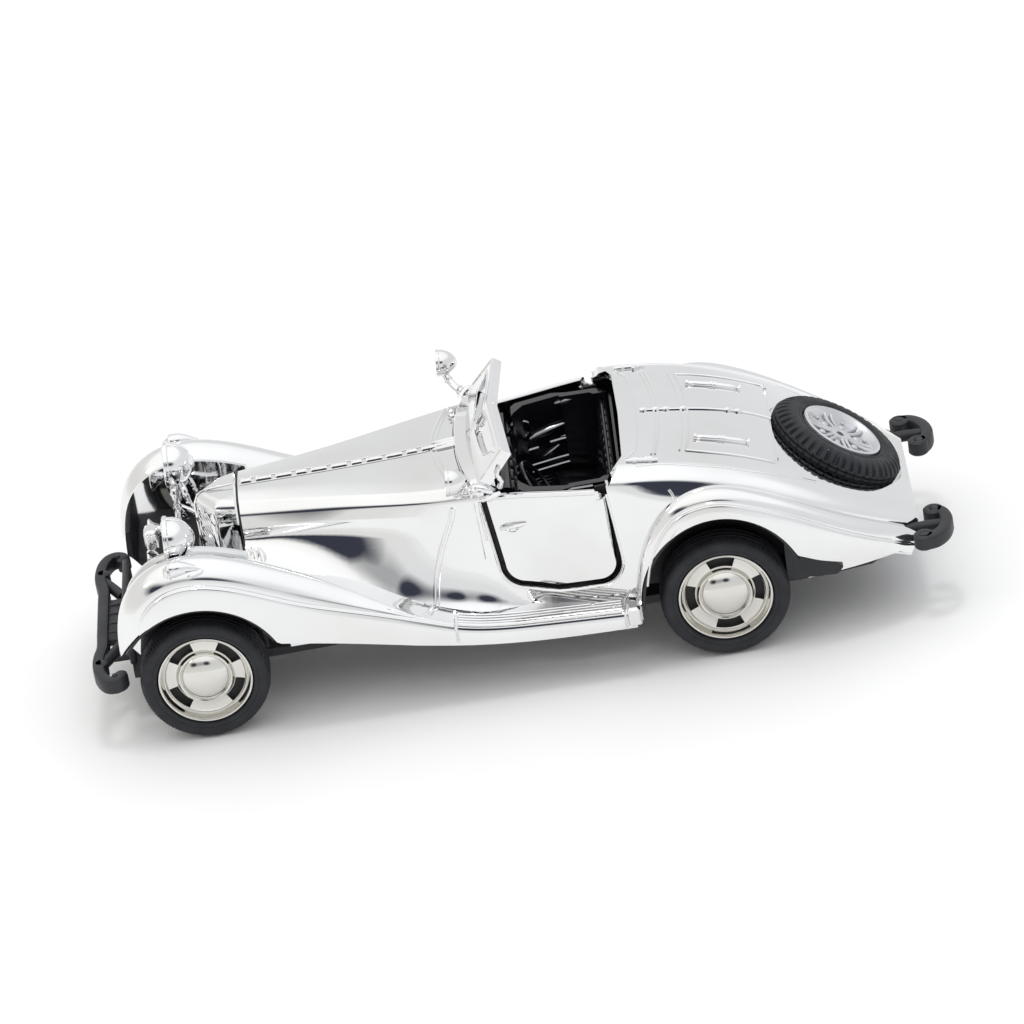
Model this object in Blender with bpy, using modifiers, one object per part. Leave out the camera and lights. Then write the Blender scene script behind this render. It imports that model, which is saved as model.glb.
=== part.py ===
"""Chrome-plated diecast collector car: a 1930s-style open two-seat roadster on a black base.

The car faces -X and stands on z = 0.  Its left side is at -Y.  All shapes are worked out in
millimetres, along stations counted aft of the front axle, and placed in metres.
"""
import math

import bmesh
import bpy
from mathutils import Matrix, Vector

MM = 0.001

# Driving dimensions, in millimetres
WHEELBASE = 84.0
FRONT_OVERHANG = 18.2
REAR_OVERHANG = 37.8
MIDDLE = (WHEELBASE + REAR_OVERHANG - FRONT_OVERHANG) / 2
TYRE_RADIUS = 10.4
TYRE_WIDTH = 6.0
RIM_RADIUS = 7.9
WHEEL_OUTER_FACE = 22.9
AXLE_RADIUS = 1.0
GAP = 0.3
SKIN = 1.2
FENDER_OUTER = 24.8
FENDER_INNER = 15.2
FLARE_REACH = 4.5
BELT_Z = 32.0
DOOR_FRONT = 49.0
HINGE_STATION = 66.8
HINGE_RADIUS = 1.1
PIN_RADIUS = 0.45
DECK_FRONT = 71.2
FLOOR_Z = 11.6
PAN_DEPTH = 4.2
BASE_Z = 7.4
BASE_THICK = 1.4
BODY_BOTTOM = 10.7
BODY_END = 116.2
ARCH_FRONT_RADIUS = 14.0
ARCH_REAR_HALF_WIDTH = 13.5
ARCH_REAR_HEIGHT = 15.6
SPARE_STATION = 106.7
SPARE_Z = 25.1
SPARE_TILT = math.radians(34.0)
SPARE_RADIUS = 11.3
SPARE_WIDTH = 4.8
ROUND_STEPS = 20

for old in list(bpy.data.objects):
    bpy.data.objects.remove(old, do_unlink=True)


def new_collection(name):
    group = bpy.data.collections.new(name)
    bpy.context.scene.collection.children.link(group)
    return group


PARTS = new_collection("collector_roadster")
CUTTERS = new_collection("cutters")


# ---------------------------------------------------------------- helpers

def spot(s, y, z):
    """A place in metres from station, sideways and height in millimetres."""
    return Vector(((s - MIDDLE) * MM, y * MM, z * MM))


def smooth(*knots):
    """A natural cubic spline through (position, value) knots, straight on past its ends."""
    xs = [knot[0] for knot in knots]
    ys = [knot[1] for knot in knots]
    last = len(xs) - 1
    width = [xs[i + 1] - xs[i] for i in range(last)]
    slope = [(ys[i + 1] - ys[i]) / width[i] for i in range(last)]
    diag, right, bend = [1.0] * (last + 1), [0.0] * (last + 1), [0.0] * (last + 1)
    for i in range(1, last):
        diag[i] = 2 * (width[i - 1] + width[i])
        right[i] = 6 * (slope[i] - slope[i - 1])
        if i > 1:
            factor = width[i - 1] / diag[i - 1]
            diag[i] -= factor * width[i - 1]
            right[i] -= factor * right[i - 1]
    for i in range(last - 1, 0, -1):
        bend[i] = (right[i] - width[i] * bend[i + 1]) / diag[i]

    def value(x):
        i = max(0, min(last - 1, sum(1 for knot in xs[1:-1] if knot <= x)))
        a, b = (xs[i + 1] - x) / width[i], (x - xs[i]) / width[i]
        if a > 1 or b > 1:
            end, run = (0, x - xs[0]) if a > 1 else (last, x - xs[-1])
            tilt = slope[i] + (-1 if a > 1 else 1) * width[i] * (
                bend[i + (b > 1)] * 2 + bend[i + (a > 1)]) / 6
            return ys[end] + tilt * run
        return (a * ys[i] + b * ys[i + 1]
                + ((a ** 3 - a) * bend[i] + (b ** 3 - b) * bend[i + 1]) * width[i] ** 2 / 6)

    return value


def spread(start, end, count):
    return [start + (end - start) * i / (count - 1) for i in range(count)]


def material(name, color, roughness, metallic):
    made = bpy.data.materials.new(name)
    made.use_nodes = True
    shader = made.node_tree.nodes["Principled BSDF"]
    shader.inputs["Base Color"].default_value = (*color, 1)
    shader.inputs["Roughness"].default_value = roughness
    shader.inputs["Metallic"].default_value = metallic
    return made


FINISHES = {
    "chrome": ((0.86, 0.87, 0.88), 0.06, 1.0),
    "black": ((0.045, 0.046, 0.05), 0.45, 0.0),
    "gloss": ((0.012, 0.012, 0.014), 0.15, 0.0),
    "tyre": ((0.04, 0.041, 0.045), 0.6, 0.0),
    "silver": ((0.62, 0.63, 0.66), 0.3, 0.9),
    "steel": ((0.5, 0.5, 0.52), 0.3, 1.0),
    "nylon": ((0.8, 0.78, 0.7), 0.5, 0.0),
}


def add(name, mesh, finish=None, group=None):
    """A new object in the parts, with its own material, or in the cutters."""
    made = bpy.data.objects.new(name, mesh)
    (group or PARTS).objects.link(made)
    if finish:
        mesh.materials.clear()
        mesh.materials.append(material(name, *FINISHES[finish]))
    if group is CUTTERS:
        made.hide_render = True
        made.display_type = "WIRE"
    return made


def closed_mesh(name, rings):
    """A loft through rings of equal length, with both ends capped."""
    bm = bmesh.new()
    rows = [[bm.verts.new(point) for point in ring] for ring in rings]
    size = len(rows[0])
    for row, following in zip(rows, rows[1:]):
        for i in range(size):
            j = (i + 1) % size
            bm.faces.new((row[i], row[j], following[j], following[i]))
    bm.faces.new(rows[0])
    bm.faces.new(rows[-1][::-1])
    bmesh.ops.recalc_face_normals(bm, faces=bm.faces)
    mesh = bpy.data.meshes.new(name)
    bm.to_mesh(mesh)
    bm.free()
    return mesh


def box_mesh(name, low, high):
    """A box between two corners given as (station, sideways, height)."""
    bm = bmesh.new()
    a, b = spot(*low), spot(*high)
    scale = Matrix.Diagonal((*(b - a), 1))
    bmesh.ops.create_cube(bm, size=1.0, matrix=Matrix.Translation((a + b) / 2) @ scale)
    mesh = bpy.data.meshes.new(name)
    bm.to_mesh(mesh)
    bm.free()
    return mesh


def box(name, low, high, finish=None, group=None):
    return add(name, box_mesh(name, low, high), finish, group)


def rod_mesh(name, start, end, radius, steps=16, far_radius=None):
    """A straight round bar between two places in millimetre stations."""
    a, b = spot(*start), spot(*end)
    turn = (b - a).to_track_quat("Z", "Y").to_matrix().to_4x4()
    bm = bmesh.new()
    bmesh.ops.create_cone(
        bm, cap_ends=True, segments=steps, radius1=radius * MM,
        radius2=(radius if far_radius is None else far_radius) * MM,
        depth=(b - a).length, matrix=Matrix.Translation((a + b) / 2) @ turn)
    mesh = bpy.data.meshes.new(name)
    bm.to_mesh(mesh)
    bm.free()
    return mesh


def rod(name, start, end, radius, finish=None, group=None, steps=16, far_radius=None):
    return add(name, rod_mesh(name, start, end, radius, steps, far_radius), finish, group)


def turned(name, profile, place, axis, finish=None, group=None, steps=ROUND_STEPS):
    """A profile of (radius, height) turned about an axis, its outer side listed from the top down."""
    mesh = bpy.data.meshes.new(name)
    loop = profile[0][0] > 0
    edges = [(i, i + 1) for i in range(len(profile) - 1)] + ([(len(profile) - 1, 0)] if loop else [])
    mesh.from_pydata([(r * MM, 0, h * MM) for r, h in profile], edges, [])
    made = add(name, mesh, finish, group)
    made.location = spot(*place)
    made.rotation_mode = "QUATERNION"
    made.rotation_quaternion = Vector(axis).to_track_quat("Z", "Y")
    screw = made.modifiers.new("turn", "SCREW")
    screw.steps = screw.render_steps = steps
    screw.use_merge_vertices = True
    screw.merge_threshold = 1e-6
    return made


def boolean(target, tool, operation):
    step = target.modifiers.new(operation.lower(), "BOOLEAN")
    step.operation = operation
    step.solver = "EXACT"
    step.object = tool
    if tool.name not in CUTTERS.objects:
        PARTS.objects.unlink(tool)
        CUTTERS.objects.link(tool)
        tool.hide_render = True
        tool.display_type = "WIRE"


def cut(target, *tools):
    for tool in tools:
        boolean(target, tool, "DIFFERENCE")


def join(target, *tools):
    for tool in tools:
        boolean(target, tool, "UNION")


def prism(name, outline, low_y, high_y):
    """A side-view outline of (station, height) points carried across the car."""
    rings = [[spot(s, y, z) for s, z in outline] for y in (low_y, high_y)]
    return add(name, closed_mesh(name, rings), group=CUTTERS)


def arc(middle, radii, start, end, count):
    """Points on an ellipse's arc, angles in degrees from +station towards up."""
    return [(middle[0] + radii[0] * math.cos(math.radians(a)),
             middle[1] + radii[1] * math.sin(math.radians(a))) for a in spread(start, end, count)]


# ---------------------------------------------------------------- body surfaces

# Lines that run along the body: half-width and height at each station
CENTRE_Z = smooth((9, 33.1), (40, 33.7), (70, 34.8), (81, 33.6), (95.4, 29.3), (106, 22.2), (116.4, 15.8))
EDGE_Y = smooth((9, 5.3), (24, 9.0), (40, 13.5), (50, 15.4), (60, 17.0), (70, 17.9), (87, 17.6),
                (97, 16.4), (107, 14.3), (116.4, 11.5))
EDGE_Z = smooth((9, 32.4), (40, 33.0), (68, 34.2), (77, 33.5), (87, 31.1), (97, 27.0), (107, 21.2),
                (116.4, 15.6))
ROLL_Y = smooth((9, 6.9), (24, 10.3), (40, 14.9), (50, 16.5), (60, 18.8), (69, 20.4), (87, 20.2),
                (97, 19.0), (107, 16.9), (116.4, 13.6))
ROLL_Z = smooth((9, 30.9), (24, 31.2), (40, 31.6), (60, 32.1), (69, 33.2), (77, 32.6), (87, 30.3), (97, 26.3),
                (107, 20.7), (116.4, 15.1))
WAIST_Y = smooth((9, 7.8), (24, 11.2), (40, 15.4), (50, 16.8), (60, 19.1), (69, 21.0), (87, 21.4),
                 (97, 20.6), (107, 18.6), (116.4, 15.2))
WAIST_Z = smooth((9, 28.6), (40, 29.2), (60, 29.6), (69, 31.2), (77, 30.9), (87, 28.8), (97, 25.0),
                 (107, 19.7), (116.4, 14.4))

# Crest of each fender in side view, by distance along it
FRONT_CREST = ((-12.9, 15.2), (-12.4, 20.5), (-10.2, 26.6), (-5.7, 30.4), (0.3, 31.6), (6.4, 30.5),
               (14.0, 27.4), (23.0, 23.1), (32.0, 18.4), (41.0, 14.4), (54.0, 12.6), (69.6, 11.8))
REAR_CREST = ((69.4, 9.6), (70.6, 16.5), (73.0, 23.2), (77.5, 28.4), (84.0, 30.1), (91.0, 28.2),
              (98.0, 24.6), (105.0, 20.4), (111.0, 16.9), (116.0, 13.8))
SKIRT_Z = smooth((10, 16.7), (22, 14.6), (42, 10.6), (57, 9.2), (70, 8.9))
TAIL_SKIRT_Z = smooth((96, 15.4), (103, 13.6), (112, 12.1), (116.4, 12.4))


def path(points):
    """Station and height along a crest, as a function of the distance from its start."""
    along = [0.0]
    for (s0, z0), (s1, z1) in zip(points, points[1:]):
        along.append(along[-1] + math.hypot(s1 - s0, z1 - z0))
    station = smooth(*[(d, p[0]) for d, p in zip(along, points)])
    height = smooth(*[(d, p[1]) for d, p in zip(along, points)])
    return station, height, along[-1]


def blend(x, low, high):
    t = max(0.0, min(1.0, (x - low) / (high - low)))
    return t * t * (3 - 2 * t)


def in_front_arch(s, z):
    return math.hypot(s, z - TYRE_RADIUS) < ARCH_FRONT_RADIUS


def in_rear_arch(s, z):
    return math.hypot((s - WHEELBASE) / ARCH_REAR_HALF_WIDTH,
                      (z - TYRE_RADIUS) / ARCH_REAR_HEIGHT) < 1


def depth_to(inside, s, z, down):
    """How far along the inward direction a fender's side reaches before an arch or the skirt."""
    far = 0.0
    while far < 24 and not inside(s + down[0] * far, z + down[1] * far):
        far += 0.1
    return far


def front_fender_section(s, z, inward):
    """Half-widths and depths of the front fender and running board, from inside to outside."""
    flat = blend(s, 16, 40)
    body = side_y(s, max(z, 12.0))
    depth = depth_to(lambda a, b: in_front_arch(a, b) or b < SKIRT_Z(max(a, 8)), s, z, inward)
    round_top = ((FENDER_INNER, 8.0), (FENDER_INNER, 4.3), (16.3, 2.4), (18.0, 0.6), (20.2, 0.0), (22.2, 0.7),
                 (23.5, 2.0), (24.1, 3.4), (24.6, 4.6), (FENDER_OUTER, max(depth, 5.2)))
    flat_top = ((body - 2.0, 3.0), (body - 1.6, 1.4), (body - 1.2, 0.5), (body - 0.6, 0.0), (20.6, 0.0),
                (22.6, 0.0), (23.9, 0.1), (24.3, 0.4), (24.7, 1.0), (FENDER_OUTER, max(depth, 2.0)))
    return [(a + (c - a) * flat, b + (d - b) * flat) for (a, b), (c, d) in zip(round_top, flat_top)]


def rear_fender_section(s, z, inward):
    """Half-widths and depths of the rear fender, from inside to outside."""
    narrow = smooth((70, 0.0), (98, 0.1), (104, 0.9), (110, 2.6), (116, 5.6))(s)
    depth = depth_to(lambda a, b: in_rear_arch(a, b) or b < (TAIL_SKIRT_Z(a) if a > 84 else 9.0),
                     s, z, inward)
    shape = ((15.5, 6.0), (15.5, 3.0), (18.0, 1.2), (20.0, 0.3), (21.8, 0.0), (23.2, 0.4), (24.1, 1.2),
             (24.4, 2.0), (24.7, 2.8), (FENDER_OUTER, max(depth, 3.4)))
    return [(y - narrow, d) for y, d in shape]


def fender_rings(crest, section, count, side):
    """Closed rings across a fender, each square to its crest in side view."""
    station, height, length = path(crest)
    rings = []
    for t in spread(0.0, length, count):
        s, z = station(t), height(t)
        ds, dz = station(t + 0.01) - station(t - 0.01), height(t + 0.01) - height(t - 0.01)
        size = math.hypot(ds, dz)
        inward = (dz / size, -ds / size)
        shape = section(s, z, inward)
        shape[0] = (shape[0][0], shape[-1][1])
        rings.append([spot(s + inward[0] * d, side * y, z + inward[1] * d) for y, d in shape])
    return rings


def side_y(s, z):
    """Half-width of the body's side at a height, from the belt down to the board."""
    levels = ((EDGE_Z(s), EDGE_Y(s)), (ROLL_Z(s), ROLL_Y(s)), (WAIST_Z(s), WAIST_Y(s)),
              (WAIST_Z(s) - 6, WAIST_Y(s) + 0.25), (12.0, WAIST_Y(s) + 0.3))
    if z >= levels[0][0]:
        return levels[0][1]
    for (z0, y0), (z1, y1) in zip(levels, levels[1:]):
        if z >= z1:
            return y0 + (y1 - y0) * (z0 - z) / (z0 - z1)
    return levels[-1][1]


def flare(s):
    """Height of the fender beside the body, where the body's side sweeps out to meet it."""
    front = smooth((9, 25.0), (16, 23.2), (24, 20.2), (32, 17.0), (41, 13.6), (54, 12.5), (70, 11.8))
    rear = smooth((70, 12.0), (80, 20.0), (90, 22.0), (104, 17.0), (116.4, 12.6))
    return front(s) if s < 70 else rear(s)


def body_half(s, inset, bottom):
    """Half-widths and heights down the body's half section, from its centre line."""
    low = flare(s)
    drop = inset + (PAN_DEPTH * blend(s, 90, 94) if inset else 0)
    sweep = 1 - blend(s, 44, 56)
    reach = max(FLARE_REACH * sweep, FENDER_INNER + 0.7 - WAIST_Y(s) if s < 30 else 0.0)
    shape = [(0.0, CENTRE_Z(s)), (EDGE_Y(s) * 0.55, (CENTRE_Z(s) + EDGE_Z(s)) / 2 + 0.15),
             (EDGE_Y(s), EDGE_Z(s)), (ROLL_Y(s), ROLL_Z(s)), (WAIST_Y(s), WAIST_Z(s))]
    for share in (0.3, 0.6, 0.85):
        z = WAIST_Z(s) + (low - WAIST_Z(s)) * share
        shape.append((WAIST_Y(s) + 0.3 * share + 0.58 * reach * share ** 4, z))
    shape.append((WAIST_Y(s) + 0.3 + reach, low))
    shape.append((WAIST_Y(s) + 0.3 + reach, bottom))
    return [(max(0.0, y - inset), max(z - drop, bottom + 0.3 * i) if i else bottom)
            for i, (y, z) in zip(range(len(shape) - 1, -1, -1), shape)]


def body_rings(stations, inset=0.0, bottom=BODY_BOTTOM):
    rings = []
    for s in stations:
        half = body_half(s, inset, bottom)
        left = [spot(s, -y, z) for y, z in half]
        right = [spot(s, y, z) for y, z in half[1:]]
        rings.append(left[::-1] + right)
    return rings


# ---------------------------------------------------------------- diecast body and doors

def door_outline(grow):
    """The door seen from the side, grown by a clearance: top, rounded bottom corners, hinge edge."""
    front, rear = DOOR_FRONT - grow, HINGE_STATION + grow
    top, low = BELT_Z + grow + (8 if grow else 0), 15.4 - grow
    corner = 3.4 + grow
    return ([(rear, top), (front - 0.3, top), (front - 0.3, BELT_Z - 1)]
            + arc((front + 1.0 + corner, low + 1.0 + corner), (corner, corner), 180, 262, 5)
            + [((front + rear) / 2, low)]
            + arc((rear - corner, low + 0.6 + corner), (corner, corner), 278, 360, 5))


def hinge_axis_y():
    return side_y(HINGE_STATION, 24.0) - HINGE_RADIUS


def cockpit_cutter():
    """The open cockpit, seen from above, cut down to the floor."""
    half = [(50.2, 0.0), (50.4, 8.0), (51.4, EDGE_Y(51.4) - 1.5)]
    half += [(s, side_y(s, BELT_Z - 0.5) - 1.7) for s in (54, 58, 62, 66)]
    half += [(69.0, 17.6), (70.4, 16.2), (DECK_FRONT, 14.4), (DECK_FRONT + 0.3, 0.0)]
    outline = half + [(s, -y) for s, y in half[-2:0:-1]]
    rings = [[spot(s, y, z) for s, y in outline] for z in (8.0, 45.0)]
    return add("cockpit_cutter", closed_mesh("cockpit_cutter", rings), group=CUTTERS)


def belt_cutter():
    """Takes the body down to belt height between the windscreen and the deck."""
    outline = [(49.6, 45), (48.7, 33.2), (49.2, BELT_Z + 0.4), (68.4, BELT_Z + 0.4), (69.2, 33.4),
               (DECK_FRONT - 0.6, 34.4), (DECK_FRONT, 45)]
    return prism("belt_cutter", outline, -30, 30)


def spare_recess():
    """The round seat sunk into the tail for the spare wheel."""
    reach = SPARE_RADIUS + 0.5
    low, high = spare_place(SPARE_WIDTH + GAP), spare_place(-12.0)
    return rod("spare_recess", low, high, reach, group=CUTTERS, steps=32)


def body_shell():
    stations = [9, 12, 16, 20, 24, 28, 32, 36, 40, 44, 48, 52, 56, 60, 64, 68, 72, 76, 80, 84, 88, 92,
                96, 100, 104, 108, 112, 115, BODY_END]
    shell = add("body_shell", closed_mesh("body_shell", body_rings(stations)), "chrome")
    for side in (-1, 1):
        front = add(f"front_fender_solid_{side}", closed_mesh(
            "front_fender", fender_rings(FRONT_CREST, front_fender_section, 34, side)), group=CUTTERS)
        rear = add(f"rear_fender_solid_{side}", closed_mesh(
            "rear_fender", fender_rings(REAR_CREST, rear_fender_section, 24, side)), group=CUTTERS)
        join(shell, front, rear)
    hollow_stations = [10.5, 20, 30, 40, 50, 60, 70, 80, 88, 94, 100, 106, 111, 114.6]
    hollow = add("body_hollow", closed_mesh(
        "body_hollow", body_rings(hollow_stations, SKIN, 4.0)), group=CUTTERS)
    cut(shell, hollow)
    for side in (-1, 1):
        low, high = sorted((side * FENDER_INNER, side * 30.0))
        cut(shell, prism(f"front_arch_{side}", arc((0.0, TYRE_RADIUS), (ARCH_FRONT_RADIUS,) * 2,
                                                   -10, 350, 37)[:-1], low, high),
            prism(f"rear_arch_{side}", arc((WHEELBASE, TYRE_RADIUS), (ARCH_REAR_HALF_WIDTH,
                                           ARCH_REAR_HEIGHT), -10, 350, 37)[:-1], low, high))
    cut(shell, spare_recess())
    join(shell, box("spare_clip", (93.9, -1.6, 28.0), (94.8, 1.6, 31.0), group=CUTTERS))
    for side in (-1, 1):
        join(shell, rod(f"parking_lamp_{side}", (-2.4, side * 21.0, 31.0), (1.4, side * 21.0, 30.6), 1.2,
                        group=CUTTERS, steps=12, far_radius=0.5))
    cut(shell, belt_cutter(), cockpit_cutter())
    for side in (-1, 1):
        low, high = sorted((side * 12.5, side * 30.0))
        cut(shell, prism(f"door_opening_{side}", door_outline(0.4), low, high))
        y = side * hinge_axis_y()
        cut(shell, rod(f"hinge_clearance_{side}", (HINGE_STATION, y, 14.6), (HINGE_STATION, y, 40),
                       HINGE_RADIUS + 0.4, group=CUTTERS))
    return shell


def door(name, side):
    """One door, hung at its rear edge on a rolled knuckle."""
    rings = []
    levels = spread(13.0, BELT_Z, 9)
    for s in spread(DOOR_FRONT - 2, HINGE_STATION, 9):
        outer = [spot(s, side * side_y(s, z), z) for z in levels]
        inner = [spot(s, side * (side_y(s, z) - SKIN), z) for z in levels]
        rings.append(outer + inner[::-1])
    panel = add(name, closed_mesh(name, rings), "chrome")
    outline = prism(f"{name}_outline", door_outline(0.0), -30, 30)
    boolean(panel, outline, "INTERSECT")
    y = side * hinge_axis_y()
    join(panel, rod(f"{name}_knuckle", (HINGE_STATION, y, 19.0), (HINGE_STATION, y, 30.4),
                    HINGE_RADIUS, group=CUTTERS))
    cut(panel, rod(f"{name}_bore", (HINGE_STATION, y, 10), (HINGE_STATION, y, 40),
                   PIN_RADIUS + 0.25, group=CUTTERS))
    return panel


def doors():
    for name, side in (("left", -1), ("right", 1)):
        door(f"door_{name}", side)
        y = side * hinge_axis_y()
        rod(f"door_hinge_pin_{name}", (HINGE_STATION, y, 15.0), (HINGE_STATION, y, 31.0),
            PIN_RADIUS, "steel", steps=12)


# ---------------------------------------------------------------- wheels and axles

def tyre_profile(radius, width, bead):
    half = width / 2
    return [(bead, half - 0.5), (bead + 0.8, half), (radius - 1.0, half), (radius, half - 0.9),
            (radius, 0.9 - half), (radius - 1.0, -half), (bead + 0.8, -half), (bead, 0.5 - half)]


def hub_profile():
    """Dished chrome hubcap and rim, its open back hidden in the tyre."""
    rim = RIM_RADIUS - GAP
    return [(0.0, 2.5), (2.4, 2.2), (3.5, 1.5), (3.9, 0.8), (5.4, 0.9), (6.4, 1.7), (rim, 2.4),
            (rim, -2.3), (rim - 1.2, -2.3), (rim - 1.2, 0.3), (0.0, 0.3)]


def wheels():
    for place, station in (("front", 0.0), ("rear", WHEELBASE)):
        inner = WHEEL_OUTER_FACE - TYRE_WIDTH / 2 + GAP
        rod(f"{place}_axle", (station, 0.5 - inner, TYRE_RADIUS), (station, inner - 0.5, TYRE_RADIUS),
            AXLE_RADIUS, "steel", steps=16)
        for name, side in (("left", -1), ("right", 1)):
            middle = (station, side * (WHEEL_OUTER_FACE - TYRE_WIDTH / 2), TYRE_RADIUS)
            turned(f"{place}_{name}_tyre", tyre_profile(TYRE_RADIUS, TYRE_WIDTH, RIM_RADIUS), middle,
                   (0, side, 0), "tyre", steps=28)
            turned(f"{place}_{name}_hubcap", hub_profile(), middle, (0, side, 0), "chrome", steps=20)


def spare_place(along):
    """A place on the spare wheel's axis, from its outer face inwards."""
    return (SPARE_STATION - along * math.sin(SPARE_TILT), 0.0, SPARE_Z - along * math.cos(SPARE_TILT))


def spare_wheel():
    axis = (math.sin(SPARE_TILT), 0, math.cos(SPARE_TILT))
    half = SPARE_WIDTH / 2
    bead = 6.8
    turned("spare_tyre", tyre_profile(SPARE_RADIUS, SPARE_WIDTH, bead), spare_place(half), axis,
           "tyre", steps=28)
    rim = bead - GAP
    turned("spare_rim", [(0.0, 0.9), (1.6, 0.9), (2.0, 0.4), (5.2, 0.8), (rim, 1.8), (rim, -1.9),
                         (0.0, -1.9)], spare_place(half), axis, "silver")


def ribbon(name, line, width, low_z, high_z, finish=None, group=None):
    """A flat bar on edge that follows (station, sideways) points in plan."""
    rings = []
    for i, (s, y) in enumerate(line):
        before, after = line[max(0, i - 1)], line[min(len(line) - 1, i + 1)]
        run = math.hypot(after[0] - before[0], after[1] - before[1])
        across = (-(after[1] - before[1]) / run * width / 2, (after[0] - before[0]) / run * width / 2)
        rings.append([spot(s + k * across[0], y + k * across[1], z)
                      for k, z in ((-1, low_z), (1, low_z), (1, high_z), (-1, high_z))])
    return add(name, closed_mesh(name, rings), finish, group)


def mirrored(line, side):
    return [(s, side * y) for s, y in line]


def roof_z(s, y):
    """Height of the body's upper surface over a place in plan."""
    levels = [(0.0, CENTRE_Z(s)), (EDGE_Y(s) * 0.55, (CENTRE_Z(s) + EDGE_Z(s)) / 2 + 0.15),
              (EDGE_Y(s), EDGE_Z(s)), (ROLL_Y(s), ROLL_Z(s)), (WAIST_Y(s), WAIST_Z(s))]
    for (y0, z0), (y1, z1) in zip(levels, levels[1:]):
        if abs(y) <= y1:
            return z0 + (z1 - z0) * (abs(y) - y0) / (y1 - y0)
    return levels[-1][1]


# ---------------------------------------------------------------- chassis, bumpers, screws

SCREW_PLACES = {"front": (21.0, 0.0), "middle": (73.6, 0.0), "rear": (107.4, 0.0)}
SCREW_RADIUS = 0.9
CHASSIS_LINE = ((-15.4, 6.0), (-12.5, 6.0), (-12.0, 12.6), (13.5, 12.6), (30.0, 11.6), (52.0, 13.6),
                (68.0, 15.0), (100.0, 15.0), (108.0, 13.6), (112.6, 10.0))
MOTOR_LOW, MOTOR_HIGH = (78.6, -8.0, 6.4), (98.8, 8.0, 21.2)
WALL = 1.2


def chassis():
    """Black base plate with inner wheel-arch walls, axle bores and the motor's window."""
    outline = [(s, y) for s, y in CHASSIS_LINE] + [(s, -y) for s, y in CHASSIS_LINE[::-1]]
    rings = [[spot(s, y, z) for s, y in outline] for z in (BASE_Z, BASE_Z + BASE_THICK)]
    base = add("chassis_base", closed_mesh("chassis_base", rings), "black")
    for place, middle, fore, aft, inner, top in (("front", 0.0, 11.6, 8.6, 11.4, 20.5),
                                                 ("rear", WHEELBASE, 12.4, 11.6, 13.4, 21.2)):
        for side in (-1, 1):
            low, high = sorted((side * inner, side * (inner + 1.0)))
            join(base, box(f"{place}_arch_wall_{side}", (middle - fore, low, BASE_Z + 0.4),
                           (middle + aft, high, top), group=CUTTERS))
        cut(base, rod(f"{place}_axle_bore", (middle, -20, TYRE_RADIUS), (middle, 20, TYRE_RADIUS),
                      AXLE_RADIUS + GAP, group=CUTTERS))
    for low, high in (((-12.5, -10, 8.4), (-11.4, 10, 17.5)), ((111.0, -8.5, 8.4), (112.2, 8.5, 11.4))):
        join(base, box(f"end_wall_{low[0]}", low, high, group=CUTTERS))
    cut(base, box("motor_window", (MOTOR_LOW[0] - GAP, MOTOR_LOW[1] - GAP, 0),
                  (MOTOR_HIGH[0] + GAP, MOTOR_HIGH[1] + GAP, 12), group=CUTTERS))
    for name, (s, y) in SCREW_PLACES.items():
        cut(base, rod(f"screw_hole_{name}", (s, y, 0), (s, y, 12), SCREW_RADIUS + GAP, group=CUTTERS))
        turned(f"screw_{name}", [(0.0, 7.0), (SCREW_RADIUS, 6.6), (SCREW_RADIUS, -GAP), (2.0, -GAP),
                                 (2.0, -1.0), (0.0, -1.2)], (s, y, BASE_Z), (0, 0, 1), "steel", steps=16)
    return base


def screw_bosses(shell):
    """Posts under the roof that take the base screws."""
    for name, (s, y) in SCREW_PLACES.items():
        top = roof_z(s, y) - SKIN - 0.2 - PAN_DEPTH * blend(s, 90, 94)
        join(shell, rod(f"boss_{name}", (s, y, BASE_Z + BASE_THICK + GAP), (s, y, top + 0.6), 2.6,
                        group=CUTTERS, steps=20))
        cut(shell, rod(f"boss_hole_{name}", (s, y, 0), (s, y, BASE_Z + 7.6), SCREW_RADIUS + GAP,
                       group=CUTTERS))


BUMPER_LOW, BUMPER_TOP = 10.2, 12.8
GUARD_LOW, GUARD_TOP = 12.5, 15.0
GUARD_ARM_Y = 15.9


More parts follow.
